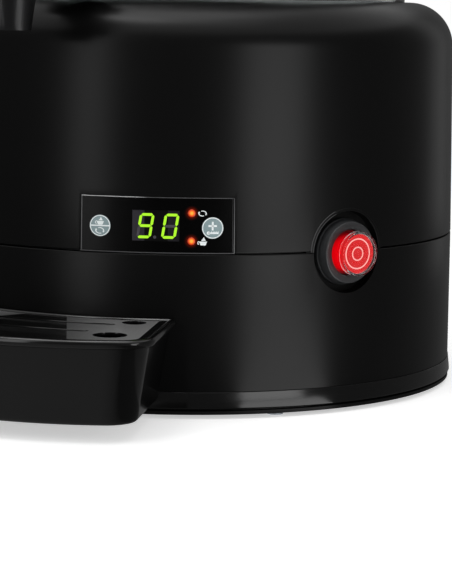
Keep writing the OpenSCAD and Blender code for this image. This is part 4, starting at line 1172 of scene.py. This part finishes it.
    def build(self) -> None:
        """Build and dress the base."""
        self.plinth()
        self.lower()
        self.upper()
        self.edging()
        self.switch_well()
        dress(PLATE, "plate_dark", "base_plate")
        dress(RUBBER, "rubber_black", "rubber_feet")
        dress(GLAND, "gland_black", "gland_nut")
        softened_copy("cable_gland", GLAND, "base", 0.6)
        dress(SCREW, "screw_steel", "housing_screws", "bracket_screws", "gearbox_screws", "board_screws")


class Pictogram:
    """A flat sign, drawn from bands and bars as a print of even thickness."""

    thickness = 0.06

    def __init__(self) -> None:
        """Start an empty sign."""
        self.bm = bmesh.new()

    def bar(self, start: Point, end: Point, width: float) -> "Pictogram":
        """Draw a straight bar with square ends.

        Args:
            start: Its first end.
            end: Its last end.
            width: Its width.

        Returns:
            The sign.
        """
        a, b = Vector(start), Vector(end)
        along = (b - a).normalized() * width / 2
        side = Vector((-along.y, along.x))
        self.bm.faces.new([self.bm.verts.new((*c, 0)) for c in (a + side, a - side, b - side, b + side)])
        return self

    def band(self, centre: Point, radius: float, width: float, start: float, sweep: float,
             squash: float = 1.0) -> "Pictogram":
        """Draw a curved band.

        Args:
            centre: Centre of the curve.
            radius: Its radius along the middle of the band.
            width: Width of the band.
            start: Angle of its first end, in degrees.
            sweep: How far it turns, in degrees.
            squash: Height of the curve for each unit of its width.

        Returns:
            The sign.
        """
        turn = Matrix.Rotation(math.radians(start), 4, "Z")
        ends = [self.bm.verts.new(turn @ Vector((radius + side * width / 2, 0, 0))) for side in (-1, 1)]
        edge = self.bm.edges.new(ends)
        before = set(self.bm.verts) - set(ends)
        bmesh.ops.spin(self.bm, geom=[*ends, edge], cent=(0, 0, 0), axis=(0, 0, 1), angle=math.radians(sweep),
                       steps=20)
        fresh = [v for v in self.bm.verts if v not in before]
        bmesh.ops.transform(self.bm, verts=fresh,
                            matrix=Matrix.Translation((*centre, 0)) @ Matrix.Diagonal((1, squash, 1, 1)))
        return self

    def blob(self, outline: Sequence[Corner]) -> "Pictogram":
        """Fill a rounded outline."""
        self.bm.faces.new([self.bm.verts.new((*p, 0)) for p in rounded(outline)])
        return self

    def printed(self, matrix: Matrix) -> bmesh.types.BMesh:
        """Give the sign its thickness and set it in its place.

        Args:
            matrix: The place of the sign.

        Returns:
            The sign's shape.
        """
        bmesh.ops.remove_doubles(self.bm, verts=self.bm.verts, dist=WELD)
        bmesh.ops.recalc_face_normals(self.bm, faces=self.bm.faces)
        for face in self.bm.faces:
            if face.normal.z < 0:
                face.normal_flip()
        grown = bmesh.ops.extrude_face_region(self.bm, geom=self.bm.faces[:], use_keep_orig=True)["geom"]
        tops = [v for v in grown if isinstance(v, bmesh.types.BMVert)]
        bmesh.ops.translate(self.bm, verts=tops, vec=(0, 0, self.thickness))
        bmesh.ops.recalc_face_normals(self.bm, faces=self.bm.faces)
        return moved(self.bm, matrix)


def stirring_sign(scale: float, width: float) -> Pictogram:
    """Draw two arrows that chase each other round an oval.

    Args:
        scale: Half the width of the oval.
        width: Width of its line.

    Returns:
        The sign.
    """
    sign = Pictogram()
    squash = 0.68
    for start in (-15, 165):
        sign.band((0, 0), scale, width, start, 128, squash)
        tip = math.radians(start)
        at = Vector((scale * math.cos(tip), squash * scale * math.sin(tip)))
        way = Vector((math.sin(tip), -math.cos(tip))) * scale * 0.34
        side = Vector((-way.y, way.x))
        sign.blob([(*(at + way), 0), (*(at + side * 0.9), 0), (*(at - side * 0.9), 0)])
    return sign


def hot_cup_sign(scale: float) -> Pictogram:
    """Draw a cup with a handle on its left and a peak of steam above it.

    Args:
        scale: Half the width of the cup.

    Returns:
        The sign.
    """
    sign = Pictogram()
    sign.blob([(-scale, 0.1 * scale, 0.1), (-0.62 * scale, -0.86 * scale, 0.3 * scale),
               (0.62 * scale, -0.86 * scale, 0.3 * scale), (scale, 0.1 * scale, 0.1)])
    sign.band((-scale * 0.95, -0.26 * scale), 0.36 * scale, 0.2 * scale, 90, 170)
    sign.blob([(-0.62 * scale, 0.26 * scale, 0.1 * scale), (0.72 * scale, 0.26 * scale, 0.1 * scale),
               (0.46 * scale, 0.62 * scale, 0.1 * scale), (0.16 * scale, 1.2 * scale, 0.02),
               (-0.14 * scale, 0.62 * scale, 0.1 * scale)])
    return sign


@dataclass
class ControlPanel:
    """The overlay, the display, the lamps, the keys and their printed signs."""

    az: float = PANEL_AZ
    control_z: float = KEY_Z
    overlay_r: float = 137.2
    key_r: float = 4.85
    key_angle: float = KEY_ANGLE
    key_back: float = 137.4
    key_t: float = 0.5
    key_stem_r: float = 1.7
    key_stem_end: float = 135.4
    lamp_x: float = 15.9
    lamp_heights: tuple[float, float] = (81.3, 94.0)
    lamp_r: float = 1.9
    lamp_back: float = 128.6
    lamp_front: float = 136.6
    halo_r: float = 3.5
    sign_azimuths: tuple[float, float] = (29.5, 29.2)

    def key(self, side: int, name: str, body: str) -> Matrix:
        """Turn one key with its pale rim.

        Args:
            side: -1 for the left key and 1 for the right one.
            name: The key's solid.
            body: The body that it moves with.

        Returns:
            The place of the key's face.
        """
        place = turned_to(self.az + side * self.key_angle, self.control_z)
        front = self.key_back + self.key_t
        section = [(0, self.key_stem_end, 0), (self.key_stem_r, self.key_stem_end, 0.3),
                   (self.key_stem_r, self.key_back, 0), (self.key_r, self.key_back, 0.1),
                   (self.key_r, front, 0.06), (0, front, 0)]
        piece(name + "_cap", moved(spindle(section, 72), place), KEY, body, [name])
        rim = washer((self.key_r - 0.5, self.key_r - 0.06), front - 0.02, front + 0.05, 0.03, steps=72)
        piece(name + "_rim", moved(rim, place), PRINT, body)
        return place @ Matrix.Translation((0, 0, front))

    def keys(self) -> None:
        """Build both keys and print their signs."""
        face = self.key(-1, "mode_key", "left_key")
        cup = hot_cup_sign(1.75).printed(face @ Matrix.Translation((0.1, 1.9, 0)))
        stir = stirring_sign(1.85, 0.55).printed(face @ Matrix.Translation((-0.1, -2.25, 0)))
        line = Pictogram().bar((-4.5, 0), (4.5, 0), 0.6).printed(face)
        piece("mode_key_print", joined([cup, stir, line]), PRINT, "left_key")
        face = self.key(1, "plus_key", "right_key")
        plus = Pictogram().bar((-1.96, 0.9), (1.96, 0.9), 0.86).printed(face)
        upright = Pictogram().bar((0, -1.06), (0, 2.86), 0.86).printed(face)
        gauge = Pictogram().bar((-1.8, -2.3), (2.7, -2.3), 0.8).printed(face)
        bulb = Pictogram().band((-1.9, -2.3), 0.4, 0.8, 0, 360).printed(face)
        ticks = [Pictogram().bar((x, -2.0), (x, -1.45), 0.3).printed(face) for x in (-0.4, 0.6, 1.6, 2.5)]
        piece("plus_key_print", joined([plus, upright, gauge, bulb, *ticks]), PRINT, "right_key")

    def lamps(self) -> None:
        """Turn the two lit signal lamps."""
        for name, height in zip(("lower_lamp", "upper_lamp"), self.lamp_heights):
            place = turned_to(self.az, height) @ Matrix.Translation((self.lamp_x, 0, 0))
            section = [(0, self.lamp_back, 0), (self.lamp_r, self.lamp_back, 0.2),
                       (self.lamp_r, self.lamp_front - 0.25, 0.6), (0, self.lamp_front, 0)]
            bm = moved(spindle(section, 48), place)
            centre = TO_FRAME @ (place @ Vector((0.2, 0.1, self.lamp_front)))
            # Amber lamp behind diffused epoxy: a yellow core in an orange-red halo
            lens = Glow("diffused_amber_" + name, "#3a0c02", "#4a1003", (0.3, 0.4), 0.5, 0.03,
                        glow_strength=1.0, centre=tuple(centre), reach_mm=self.lamp_r * 1.05,
                        stops=((0.04, "#5f0e01"), (0.3, "#d83c08"), (0.54, "#ff7a1c"), (0.74, "#ffb43c")))
            piece(name, bm, lens, "base", ["signal_lamps"])
            bm = washer((self.lamp_r + 0.15, self.halo_r), self.overlay_r - 0.1, self.overlay_r + 0.02, steps=48)
            for vert in bm.verts:
                vert.co.z += math.sqrt(self.overlay_r ** 2 - (vert.co.x + self.lamp_x) ** 2) - self.overlay_r
            # Light of the lamp that shines through the film round it: dull red, gone after a millimetre or two
            halo = Glow("lit_film_" + name, "#030303", "#050505", (0.2, 0.27), 1.1, 0.02, specular=0.08,
                        glow_strength=1.0, centre=tuple(centre), reach_mm=self.halo_r + 0.1,
                        stops=((0.08, "#030000"), (0.27, "#260400"), (0.4, "#520b01"), (0.46, "#5f0e01")))
            piece(name + "_halo", moved(bm, place), halo, "base")

    def signs(self) -> None:
        """Print the signs beside the lamps."""
        cup_az, stir_az = self.sign_azimuths
        lower, upper = self.lamp_heights
        face = self.overlay_r - 0.01
        cup = hot_cup_sign(1.85).printed(turned_to(cup_az, lower) @ Matrix.Translation((-0.3, -0.2, face)))
        stir = stirring_sign(1.65, 0.5).printed(turned_to(stir_az, upper) @ Matrix.Translation((0, 0, face)))
        piece("panel_print", joined([cup, stir]), PRINT, "base")

    def build(self) -> None:
        """Build and dress the panel."""
        self.keys()
        self.lamps()
        self.signs()
        dress(OVERLAY, "overlay_black", "panel_overlay")
        dress(DISPLAY, "display_dark", "display_module")
        dress(LIT, "segment_lit", "lit_segments")
        dress(UNLIT, "segment_dark", "unlit_segments")


@dataclass
class PowerSwitch:
    """The collar, the lit lens and the clear cap of the power switch."""

    az: float = SWITCH_AZ
    height: float = SWITCH_Z
    floor: float = SWITCH_FLOOR
    collar_r: float = 15.5
    collar_front: float = 140.5
    collar_step: float = 2.4
    seat_t: float = 0.7
    barrel_r: float = 11.0
    barrel_end: float = 112.0
    bore_r: float = 6.0
    cap_r: float = 10.3
    lens_r: float = 9.3
    back: float = 136.5
    front: float = 147.7
    cap_t: float = 0.8
    lens_drop: float = 2.3
    cap_skirt: float = 0.8
    flange_t: float = 2.0
    gap: float = 0.3
    # Middle of the lens's painted highlight, left of the axis
    bright_spot: Point = (-5.0, -0.5)
    ring_radii: tuple[float, float] = (6.85, 3.0)
    ring_w: float = 0.6

    @property
    def place(self) -> Matrix:
        """The place of the switch's axis."""
        return turned_to(self.az, self.height)

    def collar(self) -> None:
        """Turn the collar: a step, a cone and a ring-shaped face."""
        mouth = self.cap_r + self.gap
        step, seat = self.floor + self.collar_step, self.floor + self.seat_t
        section = [(self.bore_r, self.barrel_end, 0.2), (self.barrel_r, self.barrel_end, 0.3),
                   (self.barrel_r, self.floor, 0), (self.collar_r, self.floor, 0.1),
                   (self.collar_r, step, 0.5), (self.collar_r - 0.5, step + 0.5, 0.2),
                   (self.collar_r - 1.3, self.collar_front, 0.5), (mouth, self.collar_front - 0.35, 0.35),
                   (mouth, seat, 0.1), (self.bore_r, seat, 0.1)]
        piece("switch_collar", moved(lathe(rounded(section), steps=128), self.place), BEZEL, "base",
              ["switch_bezel"])

    def button(self) -> None:
        """Turn the red lens, its printed rings and the clear cap over it."""
        face = self.front - self.lens_drop
        stem_r = self.bore_r - self.gap
        section = [(0, self.barrel_end + 4, 0), (stem_r, self.barrel_end + 4, 0.3), (stem_r, self.back, 0),
                   (self.cap_r, self.back, 0.2), (self.cap_r, self.back + self.flange_t, 0.2),
                   (self.lens_r, self.back + self.flange_t, 0.2), (self.lens_r, face, 0.2), (0, face, 0)]
        bm = spindle(section, 128)
        bright = TO_FRAME @ (self.place @ Vector((*self.bright_spot, face - 2.0)))
        # Red acrylic lens lit from inside: saturated; its glow is painted brightest round a spot left of its middle
        # and dark where its side turns away, a painted highlight and painted shade
        lens = Glow("lit_red_acrylic", "#600205", "#6c0306", (0.22, 0.3), 0.8, 0.02, specular=0.12, glow_strength=0.8,
                    centre=tuple(bright), reach_mm=16.0,
                    stops=((0.28, "#240002"), (0.4, "#6c0006"), (0.56, "#d8000a"), (0.74, "#f4000d")))
        piece("button_red_lens", moved(bm, self.place), lens, "power_button", ["button_lens"])
        film = washer((0, self.lens_r - 0.1), face - 0.1, face + 0.01, steps=96)
        piece("button_red_film", moved(film, self.place), FACE_FILM, "power_button")
        half = self.ring_w / 2
        for i, radius in enumerate(self.ring_radii):
            ring = washer((radius - half, radius + half), face - 0.05, face + 0.04, steps=96)
            piece(f"button_ring_{i + 1}", moved(ring, self.place), RING_PRINT, "power_button")
        inner = self.lens_r + 0.05
        heel = face - self.cap_skirt
        ceiling = self.front - self.cap_t
        section = [(inner, heel, 0.1), (self.cap_r, heel, 0.15), (self.cap_r, self.front, 0.6),
                   (0, self.front, 0), (0, ceiling, 0), (inner, ceiling, 0.3)]
        bm = lathe(rounded(section), steps=128)
        piece("button_clear_cap", moved(bm, self.place), CAP, "power_button", ["button_cover"])

    def build(self) -> None:
        """Build and dress the switch."""
        self.collar()
        self.button()
        dress(BEZEL, "bezel_dark", "switch_body", "switch_nut")


@dataclass
class DripTray:
    """The drip tray and its dished cover."""

    reach: float = 214.0
    width: float = 148.0
    corner_r: float = 15.0
    front_curve_r: float = 140.0
    back_r: float = 140.5
    back_x: float = 45.0
    back_y: float = 128.0
    back_round_r: float = 13.0
    corner_draw: float = 1.18
    top: float = 46.4
    bottom: float = 8.0
    cover_t: float = 2.0
    skirt: float = 4.0
    skirt_w: float = 2.2
    gap: float = 0.3
    wall: float = 2.4
    field_drop: float = 0.7
    base_r: float = BASE_R
    slots: tuple[tuple[float, float], ...] = ((157.46, 14.0), (179.52, 11.8))
    slot_w: float = 3.6
    slot_steps: int = 18
    slot_end_steps: int = 8
    edge_r: float = 0.7
    holes: tuple[tuple[float, float, float], ...] = ((51.8, -181.0, 7.5), (45.0, -143.6, 5.5))
    # Line on the right where the painted sheen of the cover's field starts; it is mirrored to the left
    painted_sheen_from: tuple[Point, Point] = ((16.4, -154.0), (42.1, -202.3))
    tongue_x: float = TONGUE_X
    tongue_w: float = 18.0
    tongue_t: float = 3.0
    tongue_z: float = TONGUE_Z

    def outline(self, inset: float, back: float, round_r: float) -> list[Point]:
        """Draw the tray's outline in plan, from the left back corner round the front.

        Args:
            inset: How far the front and the sides are drawn in.
            back: Radius of the hollow back edge about the drive axis.
            round_r: Radius of the front corners.

        Returns:
            The points, the same number for every inset.
        """
        corner_x = self.width / 2 - self.corner_r - self.corner_draw * (round_r + inset - self.corner_r)
        inner_r = self.front_curve_r - inset - round_r
        corner_y = self.reach - self.front_curve_r + math.sqrt(inner_r ** 2 - corner_x ** 2)
        corner = Vector((corner_x, -corner_y))
        heel = Vector((self.back_x, -self.back_y))
        span = heel - corner
        lean = math.asin((round_r + inset - self.back_round_r) / span.length)
        out = Vector((span.y, -span.x)).normalized()
        out.rotate(Matrix.Rotation(lean, 2))
        if out.x < 0:
            out = -out
        start = corner + out * round_r
        end = heel + out * (self.back_round_r - inset)
        way = end - start
        a, b, c = way.dot(way), 2 * start.dot(way), start.dot(start) - back ** 2
        meet = start + way * ((-b - math.sqrt(b * b - 4 * a * c)) / (2 * a))
        swing = math.degrees(math.asin(corner_x / inner_r))
        side = math.degrees(math.atan2(out.y, out.x))
        right = [*arc((0, self.front_curve_r - self.reach), self.front_curve_r - inset, -90, swing - 90, 24),
                 *arc(tuple(corner), round_r, swing - 90, side, 14)[1:], (*meet, 0)]
        half = math.degrees(math.atan2(meet.x, -meet.y))
        rear = arc((0, 0), back, half - 90, -half - 90, 24)[1:-1]
        left = [(-x, y, 0) for x, y, _ in reversed(right)]
        return [(x, y) for x, y, _ in [*right, *rear, *left[:-1]]]

    def loft(self, levels: Sequence[tuple[float, float, float]], round_r: float | None = None) -> bmesh.types.BMesh:
        """Skin a row of outlines and close the first and the last of them.

        Args:
            levels: The inset, the back radius and the height of each outline.
            round_r: Radius of the front corners, or None where they get tighter as the outline is drawn in.

        Returns:
            The closed shape.
        """
        bm = bmesh.new()
        loops = []
        for inset, back, height in levels:
            corners = self.outline(inset, back, self.corner_r - inset if round_r is None else round_r)
            verts = [bm.verts.new((x, y, height)) for x, y in corners]
            loops.append([bm.edges.new(pair) for pair in zip(verts, verts[1:] + verts[:1])])
        for lower, upper in zip(loops, loops[1:]):
            bmesh.ops.bridge_loops(bm, edges=lower + upper)
        for loop in (loops[0], loops[-1]):
            bmesh.ops.contextual_create(bm, geom=loop)
        bmesh.ops.recalc_face_normals(bm, faces=bm.faces)
        return bm

    def tray(self) -> None:
        """Skin the tray, hollow it out and add the tongues that hook into the housing."""
        rim = self.top - self.cover_t
        edge = self.skirt_w + self.gap
        low = self.bottom
        round_r = self.corner_r - edge
        outside = self.loft([(10.4, self.back_r + 1.6, low), (9.6, self.back_r + 0.9, low + 0.25),
                             (8.9, self.back_r + 0.4, low + 0.8), (8.4, self.back_r + 0.1, low + 1.7),
                             (8, self.back_r, low + 3.2), (edge, self.back_r, rim)], round_r)
        thick = self.wall
        inside = self.loft([(10 + thick, self.back_r + thick + 1, low + thick),
                            (8.6 + thick, self.back_r + thick, low + thick + 1.4),
                            (8 + thick, self.back_r + thick, low + thick + 3.4),
                            (edge + thick, self.back_r + thick, rim + 1)], round_r - thick)
        bm = carved(outside, inside)
        tongues = [box((x - self.tongue_w / 2, -self.base_r - 1.5, self.tongue_z - self.tongue_t / 2),
                       (x + self.tongue_w / 2, -self.base_r + 17.6, self.tongue_z + self.tongue_t / 2), 0.5)
                   for x in (-self.tongue_x, self.tongue_x)]
        bm = carved(bm, joined(tongues), Carve.ADD)
        piece("drip_tray_moulding", bm, TRAY, "tray", ["drip_tray"])

    def slot_tool(self, radius: float, half: float) -> bmesh.types.BMesh:
        """Make the tool for one curved slot with round ends.

        Args:
            radius: Radius of the slot about the drive axis.
            half: Half its length, in degrees.

        Returns:
            The tool.
        """
        reach = self.slot_w / 2
        rail = []
        for edge, start, end, side in ((radius + reach, -half, half, -90), (radius - reach, half, -half, 90)):
            turn = math.radians(end)
            middle = (radius * math.sin(turn), -radius * math.cos(turn))
            rail += arc((0, 0), edge, start - 90, end - 90, self.slot_steps)
            rail += arc(middle, reach, end + side, end + side + 180, self.slot_end_steps)[1:-1]
        bottom = self.top - self.skirt - 4
        bm = sheet((x, y, bottom) for x, y, _ in rail)
        grown = bmesh.ops.extrude_face_region(bm, geom=bm.faces[:], use_keep_orig=True)["geom"]
        bmesh.ops.translate(bm, verts=[v for v in grown if isinstance(v, bmesh.types.BMVert)], vec=(0, 0, 12))
        tidy(bm)
        return bm

    def cover(self) -> None:
        """Skin the cover with its rounded, raised rim and cut its holes and slots."""
        top, under = self.top, self.top - self.skirt
        back = self.back_r
        dish_z = top - self.field_drop - 0.05
        bm = self.loft([(self.skirt_w, back + self.skirt_w, top - self.cover_t),
                        (self.skirt_w, back + self.skirt_w, under), (1.5, back + 0.35, under),
                        (0.85, back, under + 0.35), (0.4, back, under + 0.85), (0.1, back, under + 1.5),
                        (0.0, back, under + 2.1), (0.15, back + 0.1, top - 1.2), (0.5, back + 0.3, top - 0.55),
                        (1.0, back + 0.6, top - 0.14), (1.6, back + 1.0, top), (2.3, back + 1.25, top - 0.08),
                        (2.9, back + 1.45, top - 0.35), (3.4, back + 1.65, dish_z + 0.17),
                        (3.9, back + 1.85, dish_z + 0.05), (7.2, back + 3.0, dish_z)])
        tools = [self.slot_tool(radius, half) for radius, half in self.slots]
        for x, y, radius in self.holes:
            tools += [moved(rod(radius, under - 4, top + 6), Matrix.Translation((side * x, y, 0))) for side in (-1, 1)]
        bm = carved(bm, joined(tools))
        edges = [e for e in sharp_edges(bm, 50) if all(abs(v.co.z - dish_z) < 0.01 for v in e.verts)]
        soften_edges(bm, edges, self.edge_r)
        # Faces of the field beyond that line, on each side, take the paler grey of the painted sheen
        start, end = (Vector((*p, 0)) for p in self.painted_sheen_from)
        for side in (-1, 1):
            mirror = Matrix.Diagonal((side, 1, 1))
            across = mirror @ (end - start).cross(Vector((0, 0, -1)))
            bmesh.ops.bisect_plane(bm, geom=bm.verts[:] + bm.edges[:] + bm.faces[:], plane_co=mirror @ start,
                                   plane_no=across)
            for face in bm.faces:
                middle = face.calc_center_median()
                on_field = all(abs(v.co.z - dish_z) < 0.02 for v in face.verts)
                if on_field and (middle - mirror @ start).dot(across) * (1 if across.x * side > 0 else -1) > 0:
                    face.material_index = 1 if side < 0 else 2
        made = piece("tray_cover_moulding", bm, TRAY, "grid", ["tray_cover"])
        for finish in PAINTED_SHEEN.values():
            made.data.materials.append(finish.material())

    def build(self) -> None:
        """Build and dress the tray."""
        self.tray()
        self.cover()


@dataclass
class Bowl:
    """The clear bowl, what stands in it and the lid."""

    radius: float = 112.0
    wall: float = 3.0
    foot: float = 186.0
    top: float = 391.0
    bead_r: float = 114.2
    bead_h: float = 6.0
    boss_r: float = 16.5
    boss_bore: float = 12.0
    boss_end: float = 130.0
    tap_z: float = 213.0
    lid_r: float = 117.5
    lid_top: float = 410.0
    lid_t: float = 2.6
    dome_h: float = 16.0
    knob_seat: float = 12.0

    def bowl(self) -> None:
        """Turn the bowl with its beaded rim and add the boss of the tap."""
        inner = self.radius - self.wall
        section = [(inner, self.foot, 0.5), (self.radius, self.foot, 0.8), (self.radius, self.top - self.bead_h, 0.8),
                   (self.bead_r, self.top - self.bead_h, 1.9), (self.bead_r, self.top, 1.9), (inner, self.top, 1.0)]
        bm = lathe(rounded(section))
        boss = moved(rod(self.boss_r, inner + 1.2, self.boss_end, 96, 0.6), turned_to(0, self.tap_z))
        bm = carved(bm, boss, Carve.ADD)
        bm = carved(bm, moved(rod(self.boss_bore, inner - 20, self.boss_end + 5, 96), turned_to(0, self.tap_z)))
        piece("bowl_moulding", bm, BOWL, "tank", ["bowl"])

    def lid(self) -> None:
        """Turn the domed lid and its knob."""
        base = self.top + 3
        dome_r = (self.lid_r ** 2 + self.dome_h ** 2) / (2 * self.dome_h)
        middle = self.lid_top - dome_r
        edge = math.degrees(math.asin((base - middle) / dome_r))
        inner = self.radius - self.wall - 3.2
        groove = inner + 0.8
        inside = dome_r - self.lid_t
        start = math.degrees(math.acos(inner / inside))
        section = [(2.2, self.lid_top + 0.4, 0.2), (self.knob_seat, self.lid_top + 0.4, 0.3),
                   (self.knob_seat, self.lid_top - 0.3, 0.4),
                   *arc((0, middle), dome_r, math.degrees(math.acos((self.knob_seat + 1) / dome_r)), edge + 0.3, 24),
                   (self.lid_r, self.top + 2.6, 0.9), (self.lid_r, self.top, 0.6), (groove + 1, self.top, 0.1),
                   (groove + 1, self.top + 1.5, 0), (groove, self.top + 1.5, 0), (groove, self.top, 0.1),
                   (inner, self.top, 0.2), *arc((0, middle), inside, start, 88.9, 20)]
        piece("lid_moulding", lathe(rounded(section)), LID, "cover", ["lid"])
        z = self.lid_top + 0.4
        section = [(0, z + 11, 0), (2.05, z + 11, 0), (2.05, z, 0), (10, z, 0.5), (10, z + 6.5, 2.5),
                   (19.5, z + 8.4, 1.5), (23, z + 11, 2.2), (22.6, z + 15.4, 2.4), (14, z + 17.6, 6), (0, z + 18, 0)]
        piece("lid_knob_moulding", spindle(section, 128, 8), LID, "cover", ["lid_knob"])
        dress(SCREW, "screw_steel", "lid_screw")

    def inside(self) -> None:
        """Dress the dish, its column, the gasket and the agitator."""
        dress(STAINLESS, "stainless", "heating_dish", "water_jacket")
        dress(GASKET, "gasket_dark", "bowl_gasket", "lid_seal")
        dress(SHAFT, "shaft_steel", "drive_shaft")
        dress(BRONZE, "bush_bronze", "shaft_bushes", "element_nuts")
        softened_copy("agitator", AGITATOR, "mixer", 0.7)

    def build(self) -> None:
        """Build and dress the bowl."""
        self.bowl()
        self.lid()
        self.inside()


@dataclass
class Tap:
    """The piston tap with its lever."""

    edge: float = 0.7

    def build(self) -> None:
        """Build and dress the tap."""
        softened_copy("tap_body", TAP, "tank", self.edge)
        softened_copy("tap_nut", TAP, "tank", self.edge / 2)
        softened_copy("tap_cap", TAP, "tank", self.edge)
        softened_copy("tap_lever", TAP, "lever", self.edge)
        dress(TAP, "tap_black", "lever_knob")
        dress(GASKET, "gasket_dark", "tap_oring", "piston_seal")
        dress(PISTON, "piston_white", "tap_piston")
        dress(SPRING, "spring_steel", "tap_spring", "pivot_pin", "cross_pin")


@dataclass
class Works:
    """The drive, the heater and the boards inside the base."""

    def build(self) -> None:
        """Dress the works, which keep the shape of their solids."""
        dress(BRACKET, "bracket_zinc", "motor_bracket")
        dress(MOTOR, "motor_grey", "motor")
        dress(BRASS, "gear_brass", "motor_pinion")
        dress(CASE, "case_grey", "gearbox_case", "gearbox_cover")
        dress(GEAR, "gear_nylon", "output_gear")
        dress(ELEMENT, "element_alloy", "heating_element")
        dress(CERAMIC, "ceramic_cream", "safety_thermostat")
        dress(STAINLESS, "stainless", "temperature_probe")
        dress(BOARD, "board_green", "supply_board", "control_board")
        dress(SPACER, "spacer_white", "board_spacers")


def main() -> None:
    """Build the studio and every part of the machine."""
    logging.basicConfig(level=logging.INFO, format="%(name)s: %(message)s")
    for part in (Studio(), BaseHousing(), ControlPanel(), PowerSwitch(), DripTray(), Bowl(), Tap(), Works()):
        LOG.info("building %s", type(part).__name__)
        part.build()


if __name__ == "__main__":
    main()
